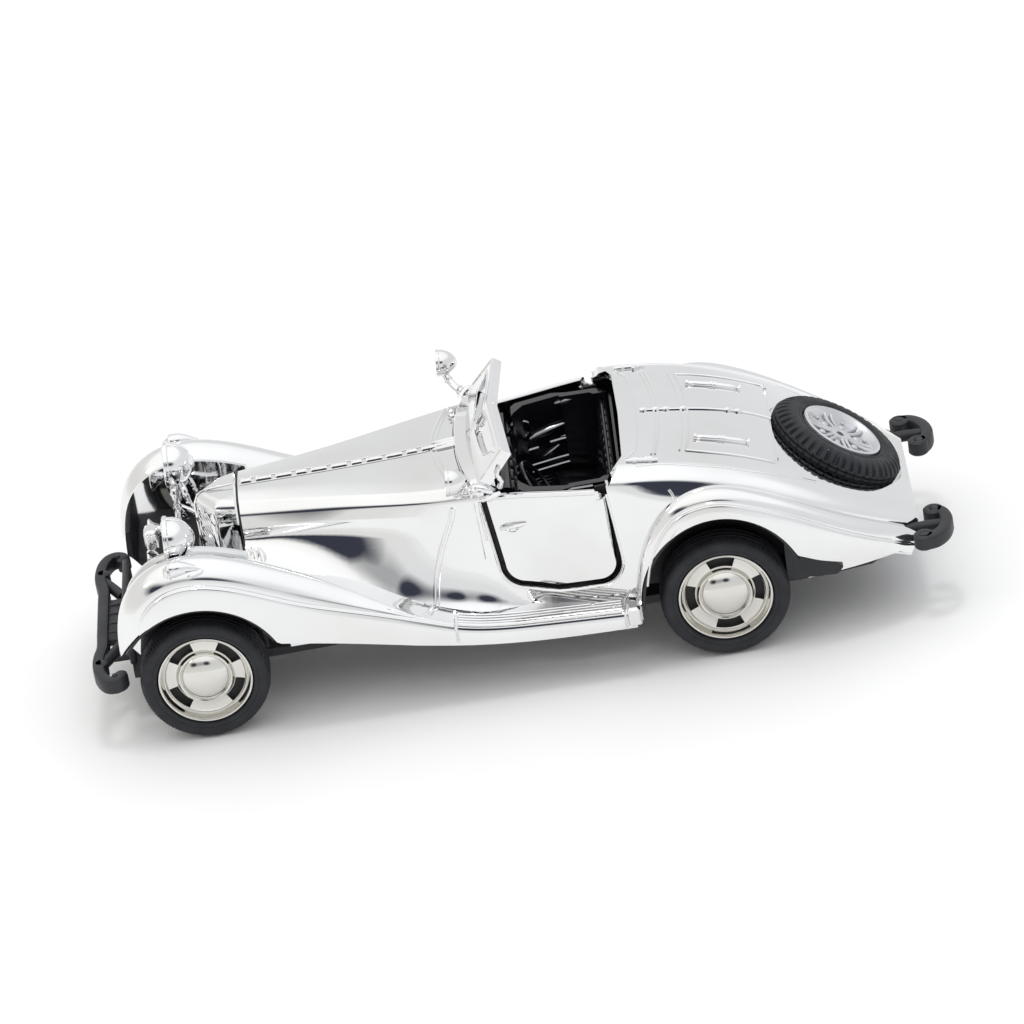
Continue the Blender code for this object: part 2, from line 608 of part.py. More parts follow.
def bumpers():
    half = [(-16.5, 0.0), (-16.5, 9.5), (-17.1, 12.6), (-17.2, 15.4), (-16.8, 18.2), (-15.8, 20.4),
            (-14.6, 21.1), (-13.5, 20.5), (-13.0, 19.2)]
    line = [(s, -y) for s, y in half[:0:-1]] + half
    bar = ribbon("front_bumper", line, 1.9, BUMPER_LOW, BUMPER_TOP, "black")
    for side in (-1, 1):
        arm = ribbon(f"bumper_arm_{side}", mirrored([(-16.9, 14.6), (-15.0, 11.2), (-13.4, 8.0)], side),
                     1.7, BUMPER_LOW + 0.3, BUMPER_TOP - 0.5, group=CUTTERS)
        join(bar, arm)
    join(bar, box("bumper_plate", (-16.2, -6.7, BUMPER_LOW + 0.4), (-12.9, 6.7, BUMPER_TOP - 0.6),
                  group=CUTTERS))
    line = [(118.6, 11.7), (119.9, 12.3), (120.7, 13.9), (120.8, 16.2), (119.9, 18.6), (118.3, 20.3),
            (116.6, 20.5), (116.0, 19.8)]
    for name, side in (("left", -1), ("right", 1)):
        guard = ribbon(f"rear_bumperette_{name}", mirrored(line, side), 2.0, GUARD_LOW, GUARD_TOP, "black")
        for s, y in ((118.9, 12.1), (116.6, 20.0)):
            join(guard, rod(f"guard_lobe_{side}_{s}", (s, side * y, GUARD_LOW), (s, side * y, GUARD_TOP),
                            1.7, group=CUTTERS, steps=16))
            cut(guard, rod(f"guard_dimple_{side}_{s}", (s, side * y, GUARD_TOP - 0.7),
                           (s, side * y, 20), 0.55, group=CUTTERS, steps=12))
        join(guard, ribbon(f"guard_arm_{side}", mirrored([(120.4, GUARD_ARM_Y), (111.8, GUARD_ARM_Y)], side),
                           1.8, GUARD_LOW + 0.6, GUARD_TOP - 0.3, group=CUTTERS))


def bumperette_slots(shell):
    for side in (-1, 1):
        low, high = sorted((side * (GUARD_ARM_Y - 1.3), side * (GUARD_ARM_Y + 1.3)))
        cut(shell, box(f"guard_slot_{side}", (111.4, low, GUARD_LOW + 0.2), (125, high, GUARD_TOP + 0.1),
                       group=CUTTERS))


# ---------------------------------------------------------------- cabin

def tub_outline(inset):
    half = [(52.6, 0.0), (52.8, 12.0), (53.4, EDGE_Y(53.4) - 2.6)]
    half += [(s, side_y(s, BELT_Z - 2) - 2.2) for s in (55, 58, 61)]
    half += [(63.5, side_y(63.5, 30) - 3.4), (68.4, 16.4), (69.8, 15.0), (70.7, 13.6), (70.7, 0.0)]
    middle = 61.5
    shape = [(s + (inset if s < middle else -inset), max(0, y - inset)) for s, y in half]
    return shape + [(s, -y) for s, y in shape[-2:0:-1]]


def cabin():
    """Black cabin moulding with its floor, sides and seat, and the dashboard and steering wheel."""
    rings = [[spot(s, y, z) for s, y in tub_outline(0.0)] for z in (FLOOR_Z, 31.4)]
    tub = add("interior_tub", closed_mesh("interior_tub", rings), "gloss")
    rings = [[spot(s, y, z) for s, y in tub_outline(WALL)] for z in (FLOOR_Z + WALL, 40)]
    cut(tub, add("tub_hollow", closed_mesh("tub_hollow", rings), group=CUTTERS))
    seat = [(59.0, 12.6), (59.4, 18.0), (60.2, 18.8), (66.0, 18.0), (68.2, 29.6), (69.0, 30.2), (70.0, 29.6),
            (70.0, 12.6)]
    rings = [[spot(s, y, z) for s, z in seat] for y in (-14.2, 14.2)]
    bench = add("seat_bench", closed_mesh("seat_bench", rings), "gloss")
    bevel = bench.modifiers.new("soft", "BEVEL")
    bevel.width, bevel.segments, bevel.limit_method = 0.5 * MM, 2, "ANGLE"
    cut(tub, box("seat_space", (58.7, -14.5, FLOOR_Z + 0.7), (70.3, 14.5, 40), group=CUTTERS))
    cut(tub, box("dash_space", (50, -20, 26.2), (54.2, 20, 40), group=CUTTERS))
    dash = [(50.9, 27.6), (50.9, 31.0), (53.0, 31.3), (53.2, 26.6)]
    rings = [[spot(s, y, z) for s, z in dash] for y in (-13.2, 13.2)]
    add("dashboard", closed_mesh("dashboard", rings), "gloss")
    steering()


def steering():
    """Left-hand steering wheel on a raked column."""
    middle, axis = (57.4, -7.4, 27.6), Vector((0.86, 0, 0.5)).normalized()
    wheel = turned("steering_wheel", [(4.6, 0.35), (4.95, 0.0), (4.6, -0.35), (4.25, 0.0)], middle, axis,
                   "gloss", steps=24)
    for turn in (90, 210, 330):
        a = math.radians(turn)
        across, up = Vector((0, 1, 0)), axis.cross(Vector((0, 1, 0)))
        tip = (across * math.cos(a) + up * math.sin(a)) * 4.5
        join(wheel, rod(f"spoke_{turn}", middle, (middle[0] + tip.x, middle[1] + tip.y, middle[2] + tip.z),
                        0.35, group=CUTTERS, steps=8))
    reach = middle[0] - 54.6
    end = (middle[0] - reach, middle[1], middle[2] - reach * axis.z / axis.x)
    join(wheel, rod("column", (middle[0] + 0.3, middle[1], middle[2] + 0.2), end, 0.6, group=CUTTERS,
                    steps=12))
    return wheel


# ---------------------------------------------------------------- nose, lamps and windscreen

def nose():
    """Chrome plastic radiator shell with its V-shaped grille."""
    def plan(front, grow):
        half = [(front, 0.0), (front + 2.9, 5.2 + grow), (8.6, 6.4 + grow)]
        return half + [(8.6, 0.0)] + [(s, -y) for s, y in half[:0:-1]]
    levels = ((9.2, 1.6, 0.6), (29.0, 1.9, 0.0), (31.6, 2.3, -0.5), (32.5, 3.4, -1.4))
    rings = [[spot(s, y, z) for s, y in plan(front, grow)] for z, front, grow in levels]
    shell = add("radiator_shell", closed_mesh("radiator_shell", rings), "chrome")
    for name, side in (("left", -1), ("right", 1)):
        cut(shell, grille_panel(f"grille_seat_{name}", side, 0.5, 5.45, -1.0, 1.2, 14.6, 31.0, CUTTERS))
        grille_panel(f"grille_{name}", side, 0.85, 5.1, 0.3, 0.85, 15.0, 30.6, PARTS)


def grille_panel(name, side, near, far, front, back, low_z, high_z, group):
    """A slab along one flank of the V nose, from near to far of the point, front to back in depth."""
    run = Vector((2.9, 5.2)).normalized()
    into = Vector((run.y, -run.x))
    corners = [Vector((1.75, 0.0)) + run * along + into * depth
               for along, depth in ((near, front), (far, front), (far, back), (near, back))]
    rings = [[spot(corner.x, side * corner.y, z) for corner in corners] for z in (low_z, high_z)]
    return add(name, closed_mesh(name, rings), None if group is CUTTERS else "chrome", group)


HEADLAMP = (-3.3, 13.0, 31.6)
HEADLAMP_RADIUS = 3.9


def front_lamps():
    bar = rod("lamp_bar", (-1.6, -13.5, 26.8), (-1.6, 13.5, 26.8), 0.55, "chrome", steps=12)
    for name, side in (("left", -1), ("right", 1)):
        s, y, z = HEADLAMP
        bowl = [(0.0, 0.55), (1.6, 0.45), (3.2, 0.1), (3.5, 0.1), (HEADLAMP_RADIUS, -0.1), (3.9, -0.9),
                (3.5, -1.2), (3.2, -2.4), (2.3, -4.0), (1.1, -5.2), (0.0, -5.6)]
        turned(f"headlamp_{name}", bowl, (s, side * y, z), (-1, 0, 0.06), "chrome")
        horn = [(0.0, 0.0), (2.1, 0.1), (2.2, -0.2), (1.3, -1.2), (0.75, -2.6), (0.6, -6.0), (0.0, -6.0)]
        turned(f"horn_{name}", horn, (-6.6, side * 5.4, 24.0), (-1, 0, 0), "chrome", steps=20)
    return bar


SPOTLIGHT = (44.0, 21.2, 37.9)
WINDSCREEN_HALF = 16.4


def windscreen():
    """One-piece plated windscreen: a raked V frame on a saddle over the cowl."""
    rings = []
    for y in spread(-WINDSCREEN_HALF, WINDSCREEN_HALF, 15):
        out = abs(y) / WINDSCREEN_HALF
        base, head = 48.2 + 1.0 * out, (52.6 + 1.4 * out, 39.9 - 0.6 * out)
        front = base - 3.6 + 1.2 * out ** 3
        foot = y * 1.04
        rest = max(BELT_Z + 1.1, max(roof_z(s, foot) for s in spread(front, base + 0.9, 6)) + 0.5)
        rings.append([spot(s, across, z) for s, across, z in (
            (front, foot, rest), (base + 0.9, foot, rest), (head[0] + 0.45, y, head[1] - 0.2),
            (head[0] - 0.35, y, head[1] + 0.2), (base - 0.4, foot, rest + 0.8), (front, foot, rest + 0.6))])
    add("windscreen", closed_mesh("windscreen", rings), "chrome")
    for name, side in (("left", -1), ("right", 1)):
        s, y, z = SPOTLIGHT
        lamp = [(0.0, 0.4), (2.2, 0.2), (2.6, -0.3), (2.5, -1.4), (1.9, -2.8), (1.0, -3.9), (0.0, -4.2)]
        bulb = turned(f"spotlight_{name}", lamp, (s - 0.8, side * y, z), (-1, 0, 0.1), "chrome", steps=20)
        join(bulb, rod(f"stalk_{name}", (s + 1.2, side * (y - 0.4), z - 1.8),
                       (47.0, side * 18.0, 34.0), 0.6, group=CUTTERS, steps=10))


# ---------------------------------------------------------------- pull-back motor

PINION_TEETH, GEAR_TEETH = 10, 22
MODULE = 0.5
GEAR_PLACE = (91.3, 13.8)
GEAR_WIDTH = 1.6


def gear_profile(teeth, turn):
    """A spur gear's outline about its own centre, with a little backlash."""
    pitch = teeth * MODULE / 2
    points = []
    for i in range(teeth):
        middle = 2 * math.pi * i / teeth + turn
        for share, radius in ((-0.34, pitch - 1.15 * MODULE), (-0.2, pitch), (-0.09, pitch + 0.85 * MODULE),
                              (0.09, pitch + 0.85 * MODULE), (0.2, pitch), (0.34, pitch - 1.15 * MODULE)):
            a = middle + share * 2 * math.pi / teeth
            points.append((radius * math.cos(a), radius * math.sin(a)))
    return points


def gear(name, teeth, place, turn, low_y, high_y):
    rings = [[spot(place[0] + a, y, place[1] + b) for a, b in gear_profile(teeth, turn)]
             for y in (low_y, high_y)]
    return add(name, closed_mesh(name, rings), "nylon")


def motor():
    """Pull-back motor: open-bottomed case, cover, axle pinion, winding gear on its pin and mainspring."""
    low, high = MOTOR_LOW, MOTOR_HIGH
    case = box("motor_case", (low[0], low[1], low[2] + 1.3), high, "black")
    cut(case, box("motor_room", (low[0] + WALL, low[1] + WALL, 0),
                  (high[0] - WALL, high[1] - WALL, high[2] - WALL), group=CUTTERS),
        rod("case_axle_bore", (WHEELBASE, -20, TYRE_RADIUS), (WHEELBASE, 20, TYRE_RADIUS),
            AXLE_RADIUS + GAP, group=CUTTERS),
        rod("case_pin_bore", (GEAR_PLACE[0], -20, GEAR_PLACE[1]), (GEAR_PLACE[0], 20, GEAR_PLACE[1]),
            0.9, group=CUTTERS, steps=12))
    box("motor_cover", low, (high[0], high[1], low[2] + 1.0), "black")
    reach = math.hypot(GEAR_PLACE[0] - WHEELBASE, GEAR_PLACE[1] - TYRE_RADIUS)
    assert reach > (PINION_TEETH + GEAR_TEETH) * MODULE / 2
    lean = math.atan2(GEAR_PLACE[1] - TYRE_RADIUS, GEAR_PLACE[0] - WHEELBASE)
    pinion = gear("axle_pinion", PINION_TEETH, (WHEELBASE, TYRE_RADIUS), lean, -4.0, -4.0 + GEAR_WIDTH + 0.4)
    cut(pinion, rod("pinion_bore", (WHEELBASE, -20, TYRE_RADIUS), (WHEELBASE, 20, TYRE_RADIUS),
                    AXLE_RADIUS + 0.25, group=CUTTERS))
    wheel = gear("winding_gear", GEAR_TEETH, GEAR_PLACE, lean + math.pi + math.pi / GEAR_TEETH,
                 -3.8, -3.8 + GEAR_WIDTH)
    cut(wheel, rod("gear_bore", (GEAR_PLACE[0], -20, GEAR_PLACE[1]), (GEAR_PLACE[0], 20, GEAR_PLACE[1]),
                   0.9, group=CUTTERS, steps=12))
    rod("gear_pin", (GEAR_PLACE[0], -7.7, GEAR_PLACE[1]), (GEAR_PLACE[0], 7.7, GEAR_PLACE[1]), 0.6,
        "steel", steps=12)
    turns, count = 3.2, 52
    line = []
    for i in range(count):
        a = 2 * math.pi * turns * i / (count - 1)
        r = 1.3 + 3.6 * i / (count - 1)
        line.append((GEAR_PLACE[0] + r * math.cos(a), GEAR_PLACE[1] + r * math.sin(a)))
    rings = []
    for i, (s, z) in enumerate(line):
        before, after = line[max(0, i - 1)], line[min(count - 1, i + 1)]
        run = math.hypot(after[0] - before[0], after[1] - before[1])
        out = ((after[1] - before[1]) / run * 0.15, -(after[0] - before[0]) / run * 0.15)
        rings.append([spot(s + k * out[0], y, z + k * out[1])
                      for k, y in ((-1, 0.6), (1, 0.6), (1, 4.2), (-1, 4.2))])
    add("mainspring", closed_mesh("mainspring", rings), "steel")


# ---------------------------------------------------------------- build

body = body_shell()
screw_bosses(body)
bumperette_slots(body)
doors()
wheels()
spare_wheel()
chassis()
bumpers()
cabin()
nose()
front_lamps()
windscreen()
motor()
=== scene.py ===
import math

import bmesh
import bpy
import numpy as np
from mathutils import Matrix, Vector


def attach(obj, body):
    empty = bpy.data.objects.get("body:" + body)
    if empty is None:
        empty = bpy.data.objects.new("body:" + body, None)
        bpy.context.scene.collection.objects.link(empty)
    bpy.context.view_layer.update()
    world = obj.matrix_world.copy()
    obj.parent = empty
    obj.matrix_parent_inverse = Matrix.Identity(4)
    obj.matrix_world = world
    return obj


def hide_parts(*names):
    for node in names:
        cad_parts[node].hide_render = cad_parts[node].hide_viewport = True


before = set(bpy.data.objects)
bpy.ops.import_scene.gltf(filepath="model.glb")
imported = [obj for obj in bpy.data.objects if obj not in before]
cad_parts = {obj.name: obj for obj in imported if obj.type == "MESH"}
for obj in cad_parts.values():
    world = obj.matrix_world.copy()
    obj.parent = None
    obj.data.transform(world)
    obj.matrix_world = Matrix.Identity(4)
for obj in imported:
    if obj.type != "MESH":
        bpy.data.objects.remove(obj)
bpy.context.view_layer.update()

# Stations (mm aft of the front axle), half-widths and heights are in millimetres throughout;
# place() turns them into the model's metres.  The car faces -X and its left side is at -Y.
MIDDLE = 51.8
WHEELBASE = 84
TYRE_RADIUS = 10.4
TYRE_WIDTH = 6
WHEEL_OUTER_FACE = 22.9
WHEEL_Y = WHEEL_OUTER_FACE - TYRE_WIDTH / 2
FENDER_OUTER = 24.8
FENDER_INNER = 15.2
FLARE_REACH = 5.3
BELT_Z = 32
DOOR_FRONT = 49
HINGE_STATION = 66.8
DECK_FRONT = 71.2
BODY_BOTTOM = 10.7
BODY_END = 116.2
SKIN = 1
ARCH_FRONT_RADIUS = 14
ARCH_REAR = (13.5, 15.6)
SPARE = (106.7, 25.1)
SPARE_TILT = math.radians(34)
SPARE_RADIUS = 11.3
SPARE_WIDTH = 4.8
SPARE_RIM_DROP = 0.8
SCREEN_FRONT, SCREEN_BACK = 1.35, -0.42
SCREWS = {"front": 21, "middle": 73.6, "rear": 107.4}
SIDES = {"left": -1, "right": 1}
UP = (0, 0, 1)


# ---------------------------------------------------------------- small mathematics

def smooth(*knots):
    """A natural cubic spline through (position, value) knots, straight on past its ends."""
    xs, ys = zip(*knots)
    last = len(xs) - 1
    width = [xs[i + 1] - xs[i] for i in range(last)]
    slope = [(ys[i + 1] - ys[i]) / width[i] for i in range(last)]
    diag, right, bend = [1] * (last + 1), [0] * (last + 1), [0] * (last + 1)
    for i in range(1, last):
        diag[i] = 2 * (width[i - 1] + width[i])
        right[i] = 6 * (slope[i] - slope[i - 1])
        if i > 1:
            factor = width[i - 1] / diag[i - 1]
            diag[i] -= factor * width[i - 1]
            right[i] -= factor * right[i - 1]
    for i in range(last - 1, 0, -1):
        bend[i] = (right[i] - width[i] * bend[i + 1]) / diag[i]

    def value(x):
        i = max(0, min(last - 1, sum(1 for knot in xs[1:-1] if knot <= x)))
        a, b = (xs[i + 1] - x) / width[i], (x - xs[i]) / width[i]
        if a > 1 or b > 1:
            end, run = (0, x - xs[0]) if a > 1 else (last, x - xs[-1])
            tilt = slope[i] + (-1 if a > 1 else 1) * width[i] * (
                bend[i + (b > 1)] * 2 + bend[i + (a > 1)]) / 6
            return ys[end] + tilt * run
        return (a * ys[i] + b * ys[i + 1]
                + ((a ** 3 - a) * bend[i] + (b ** 3 - b) * bend[i + 1]) * width[i] ** 2 / 6)

    return value


def spread(start, end, count):
    return [start + (end - start) * i / (count - 1) for i in range(count)]


def blend(x, low, high):
    t = max(0, min(1, (x - low) / (high - low)))
    return t * t * (3 - 2 * t)


def rounded(points, radii, steps=6):
    """A polyline whose inner corners are rounded off over the given distances."""
    out = [points[0]]
    for a, b, c, radius in zip(points, points[1:], points[2:], radii):
        la, lc = math.hypot(a[0] - b[0], a[1] - b[1]), math.hypot(c[0] - b[0], c[1] - b[1])
        d = min(radius, 0.46 * la, 0.46 * lc)
        p = [b[j] + (a[j] - b[j]) * d / la for j in (0, 1)]
        q = [b[j] + (c[j] - b[j]) * d / lc for j in (0, 1)]
        for t in spread(0, 1, steps + 1):
            out.append(tuple((1 - t) ** 2 * p[j] + 2 * t * (1 - t) * b[j] + t * t * q[j]
                             for j in (0, 1)))
    return out + [points[-1]]


def curve_through(points, count, closed=False):
    """Evenly counted points on a Catmull-Rom curve through 2-D or 3-D points."""
    pts = np.array(points, float)
    last = len(pts) if closed else len(pts) - 1
    out = []
    for u in np.linspace(0, last, count, endpoint=not closed):
        i = min(int(u), last - 1)
        t = u - i
        if closed:
            a, b, c, d = (pts[(i + k) % len(pts)] for k in (-1, 0, 1, 2))
        else:
            b, c = pts[i], pts[i + 1]
            a = pts[i - 1] if i > 0 else 2 * b - c
            d = pts[i + 2] if i + 2 < len(pts) else 2 * c - b
        out.append(0.5 * (2 * b + (c - a) * t + (2 * a - 5 * b + 4 * c - d) * t * t
                          + (3 * b - a - 3 * c + d) * t ** 3))
    return out


def arc(middle, radii, start, end, count):
    return [(middle[0] + radii[0] * math.cos(math.radians(a)),
             middle[1] + radii[1] * math.sin(math.radians(a))) for a in spread(start, end, count)]


def beside(points, i):
    """The unit normal of a polyline in its own plane, at one of its points."""
    a, b = points[max(0, i - 1)], points[min(len(points) - 1, i + 1)]
    run = math.hypot(b[0] - a[0], b[1] - a[1])
    return -(b[1] - a[1]) / run, (b[0] - a[0]) / run


# ---------------------------------------------------------------- mesh making

def joined(rings):
    return [p for ring in rings for p in ring]


def smooth_shade(mesh, angle=32):
    mesh.polygons.foreach_set("use_smooth", [True] * len(mesh.polygons))
    mesh.set_sharp_from_angle(angle=math.radians(angle))


def place(points):
    return (np.array(points, float) - (MIDDLE, 0, 0)) * 0.001


def build(name, points, faces, look=None, angle=32):
    """An object from (station, sideways, height) points and faces, normals made consistent."""
    mesh = bpy.data.meshes.new(name)
    mesh.from_pydata([tuple(p) for p in place(points)], [], faces)
    bm = bmesh.new()
    bm.from_mesh(mesh)
    bmesh.ops.recalc_face_normals(bm, faces=bm.faces)
    bm.to_mesh(mesh)
    bm.free()
    smooth_shade(mesh, angle)
    made = bpy.data.objects.new(name, mesh)
    bpy.context.scene.collection.objects.link(made)
    if look:
        mesh.materials.append(look)
    return made


def loft_faces(rows, size):
    faces = []
    for a in range(0, (rows - 1) * size, size):
        for i in range(size):
            j = (i + 1) % size
            faces.append((a + i, a + j, a + size + j, a + size + i))
    faces.append(tuple(range(size)))
    faces.append(tuple(range((rows - 1) * size, rows * size))[::-1])
    return faces


def loft(name, rings, look=None, angle=32):
    """A closed skin through rings of equal length, with both ends capped."""
    return build(name, joined(rings), loft_faces(len(rings), len(rings[0])), look, angle)


def prism(name, outline, low_y, high_y):
    return loft(name, [[(s, y, z) for s, z in outline] for y in (low_y, high_y)])


def slab(name, outline, low_z, high_z, look=None):
    return loft(name, [[(s, y, z) for s, y in outline] for z in (low_z, high_z)], look)


def both_halves(half):
    """An outline in plan from its right half, which starts and ends on the middle line."""
    return half + [(s, -y) for s, y in half[-2:0:-1]]


def sheet_solid(name, front, back, look):
    """A closed plate between two equal grids of points."""
    rows, cols = len(front), len(front[0])
    half = rows * cols
    faces = []
    for r in range(rows - 1):
        for a in range(r * cols, r * cols + cols - 1):
            faces.append((a, a + 1, a + cols + 1, a + cols))
            faces.append((half + a, half + a + cols, half + a + cols + 1, half + a + 1))
    ring = list(range(cols)) + [r * cols + cols - 1 for r in range(1, rows)]
    ring += [half - cols + c for c in range(cols - 2, -1, -1)]
    ring += [r * cols for r in range(rows - 2, 0, -1)]
    for a, b in zip(ring, ring[1:] + ring[:1]):
        faces.append((a, b, half + b, half + a))
    return build(name, joined(front) + joined(back), faces, look)


def tube(points, radius, sides, flat):
    """Points and faces of a tube along a path; one radius or a list; flat squashes its height."""
    pts = np.array(points, float)
    tangents = np.gradient(pts, axis=0)
    tangents /= np.linalg.norm(tangents, axis=1)[:, None]
    radii = radius if hasattr(radius, "__len__") else [radius] * len(pts)
    side = np.cross(tangents[0], (0, 0, 1))
    if np.linalg.norm(side) < 1e-3:
        side = np.cross(tangents[0], (0, 1, 0))
    made = []
    for p, t, r in zip(pts, tangents, radii):
        side = side - t * side.dot(t)
        side = side / np.linalg.norm(side)
        up = np.cross(side, t)
        for i in range(sides):
            a = 2 * math.pi * (i + 0.5) / sides
            made.append(p + side * (r * math.cos(a)) + up * (r * flat * math.sin(a)))
    return made, loft_faces(len(pts), sides)


def lathe_points(profile, middle, axis, steps, wobble=None):
    """Rings of a (radius, height) profile turned about an axis; wobble(i, angle) moves points."""
    axis = np.array(axis, float) / np.linalg.norm(axis)
    base = np.cross(axis, (0, 0, 1))
    if np.linalg.norm(base) < 0.1:
        base = np.cross(axis, (0, 1, 0))
    base /= np.linalg.norm(base)
    other = np.cross(axis, base)
    rings = []
    for k in range(steps):
        a = 2 * math.pi * k / steps
        out = base * math.cos(a) + other * math.sin(a)
        moved = [wobble(i, a) if wobble else (0, 0) for i in range(len(profile))]
        rings.append([np.array(middle) + out * (r + dr) + axis * (h + dh)
                      for (r, h), (dr, dh) in zip(profile, moved)])
    return rings


def lathe_faces(steps, size, closed):
    faces = []
    for k in range(steps):
        a, b = k * size, (k + 1) % steps * size
        for i in range(size if closed else size - 1):
            j = (i + 1) % size
            faces.append((a + i, a + j, b + j, b + i))
    return faces


def turned(name, profile, middle, axis, look=None, steps=64, wobble=None, angle=32):
    """A solid of revolution; the profile is a loop, or starts and ends on the axis."""
    loop = profile[0][0] > 1e-6
    made = build(name, joined(lathe_points(profile, middle, axis, steps, wobble)),
                 lathe_faces(steps, len(profile), loop), look, angle)
    if not loop:
        bm = bmesh.new()
        bm.from_mesh(made.data)
        bmesh.ops.remove_doubles(bm, verts=bm.verts, dist=1e-7)
        bmesh.ops.dissolve_degenerate(bm, edges=bm.edges, dist=1e-8)
        bmesh.ops.recalc_face_normals(bm, faces=bm.faces)
        bm.to_mesh(made.data)
        bm.free()
        smooth_shade(made.data, angle)
    return made


class Heap:
    """Collects many small closed solids into one object."""

    def __init__(self):
        self.points, self.faces = [], []

    def put(self, points, faces):
        start = len(self.points)
        self.points += [tuple(p) for p in points]
        self.faces += [tuple(start + i for i in face) for face in faces]

    def loft(self, rings):
        self.put(joined(rings), loft_faces(len(rings), len(rings[0])))

    def tube(self, points, radius, sides=8, flat=1):
        self.put(*tube(points, radius, sides, flat))

    def both(self, points, radius, sides=8):
        """The same tube on the left and on the right side."""
        for side in (-1, 1):
            self.tube([(s, side * y, z) for s, y, z in points], radius, sides)

    def turn(self, profile, middle, axis, steps=48, closed=False):
        """A turned solid: a closed profile, or one whose ends are capped near the axis."""
        size = len(profile)
        faces = lathe_faces(steps, size, closed)
        if not closed:
            faces.append(tuple(k * size for k in range(steps)))
            faces.append(tuple(k * size + size - 1 for k in range(steps))[::-1])
        self.put(joined(lathe_points(profile, middle, axis, steps)), faces)

    def block(self, low, high, edge=0.15):
        """A box with bevelled edges."""
        (x0, y0, z0), (x1, y1, z1) = low, high
        rings = []
        for z, k in ((z0, edge), (z0 + edge, 0), (z1 - edge, 0), (z1, edge)):
            e = edge * 0.6
            rings.append([(x0 + k + e, y0 + k, z), (x1 - k - e, y0 + k, z),
                          (x1 - k, y0 + k + e, z), (x1 - k, y1 - k - e, z),
                          (x1 - k - e, y1 - k, z), (x0 + k + e, y1 - k, z),
                          (x0 + k, y1 - k - e, z), (x0 + k, y0 + k + e, z)])
        self.loft(rings)

    def piece(self, name, look, slot, *nodes, body="body", angle=32):
        return fit(build(name, self.points, self.faces, look, angle), slot, *nodes, body=body)


def combine(target, tools, operation="DIFFERENCE", angle=32):
    """Exact Boolean of a target with several tools, one after another; the tools are used up."""
    for tool in tools:
        step = target.modifiers.new("step", "BOOLEAN")
        step.operation, step.solver, step.object = operation, "EXACT", tool
    graph = bpy.context.evaluated_depsgraph_get()
    mesh = bpy.data.meshes.new_from_object(target.evaluated_get(graph))
    target.modifiers.clear()
    old, target.data = target.data, mesh
    bpy.data.meshes.remove(old)
    smooth_shade(mesh, angle)
    for tool in tools:
        bpy.data.objects.remove(tool)
    return target


def fit(obj, slot, *nodes, body="body"):
    """The piece rides on a body and stands for the named CAD nodes; the slot argument is not used."""
    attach(obj, body)
    if nodes:
        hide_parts(*nodes)
    return obj


# ---------------------------------------------------------------- finishes

class Tree:
    """Adds shader nodes to a tree, and wires or sets their inputs."""

    def __init__(self, owner):
        owner.use_nodes = True
        self.nodes, self.links = owner.node_tree.nodes, owner.node_tree.links

    def add(self, kind, inputs, output=0, **settings):
        made = self.nodes.new("ShaderNode" + kind)
        for key, value in settings.items():
            setattr(made, key, value)
        for key, value in inputs.items():
            self.feed(made.inputs[key], value)
        return made.outputs[output] if made.outputs else made

    def feed(self, socket, value):
        if isinstance(value, bpy.types.NodeSocket):
            self.links.new(value, socket)
        else:
            socket.default_value = value

    def mix(self, mode, a, b, amount=1):
        return self.add("Mix", {0: amount, 6: a, 7: b}, 2, data_type="RGBA", blend_type=mode)

    def math(self, operation, *values):
        return self.add("Math", dict(enumerate(values)), operation=operation)

    def ramp(self, source, *stops):
        """A colour ramp through (position, grey or colour) stops."""
        made = self.add("ValToRGB", {"Fac": source})
        elements = made.node.color_ramp.elements
        while len(elements) < len(stops):
            elements.new(0.5)
        for element, (at, color) in zip(elements, stops):
            element.position = at
            element.color = (*(color if hasattr(color, "__len__") else (color,) * 3), 1)
        return made


class Look(Tree):
    """One node material on top of a Principled shader."""

    def __init__(self, name, color, roughness, metallic=0, specular=0.5):
        self.material = bpy.data.materials.new(name)
        super().__init__(self.material)
        self.shader = self.nodes["Principled BSDF"]
        for socket, value in (("Base Color", (*color, 1)), ("Roughness", roughness),
                              ("Metallic", metallic), ("Specular IOR Level", specular)):
            self.shader.inputs[socket].default_value = value
        self.coords = self.add("TexCoord", {}, "Object")

    def noise(self, scale, detail=3, stretch=(1, 1, 1)):
        at = self.add("Mapping", {"Vector": self.coords, "Scale": stretch})
        return self.add("TexNoise", {"Vector": at, "Scale": scale, "Detail": detail}, "Fac")

    def drive(self, socket, source, *stops):
        self.feed(self.shader.inputs[socket], self.ramp(source, *stops) if stops else source)

    def bump(self, *layers):
        """Each layer is (height source, strength, distance in metres)."""
        normal = None
        for source, strength, distance in layers:
            inputs = {"Strength": strength, "Distance": distance, "Height": source}
            if normal:
                inputs["Normal"] = normal
            normal = self.add("Bump", inputs)
        self.drive("Normal", normal)
        return self.material


def plated(name, color, low, high, wave=0.12):
    """Bright plating: nearly a mirror, with faint orange peel, drawing marks and hazy patches."""
    look = Look(name, color, low, 1)
    look.drive("Roughness", look.noise(90, 5), (0.35, low), (0.75, high))
    warm = tuple(c * k for c, k in zip(color, (0.96, 0.95, 0.93)))
    pale = tuple(min(1, c * 1.04) for c in color)
    look.drive("Base Color", look.noise(55, 5), (0.3, pale), (0.5, color), (0.72, warm))
    return look.bump((look.noise(240, 2), wave * 1.7, 0.00002),
                     (look.noise(1500, 3, (0.06, 1, 1)), 0.12, 0.00001))


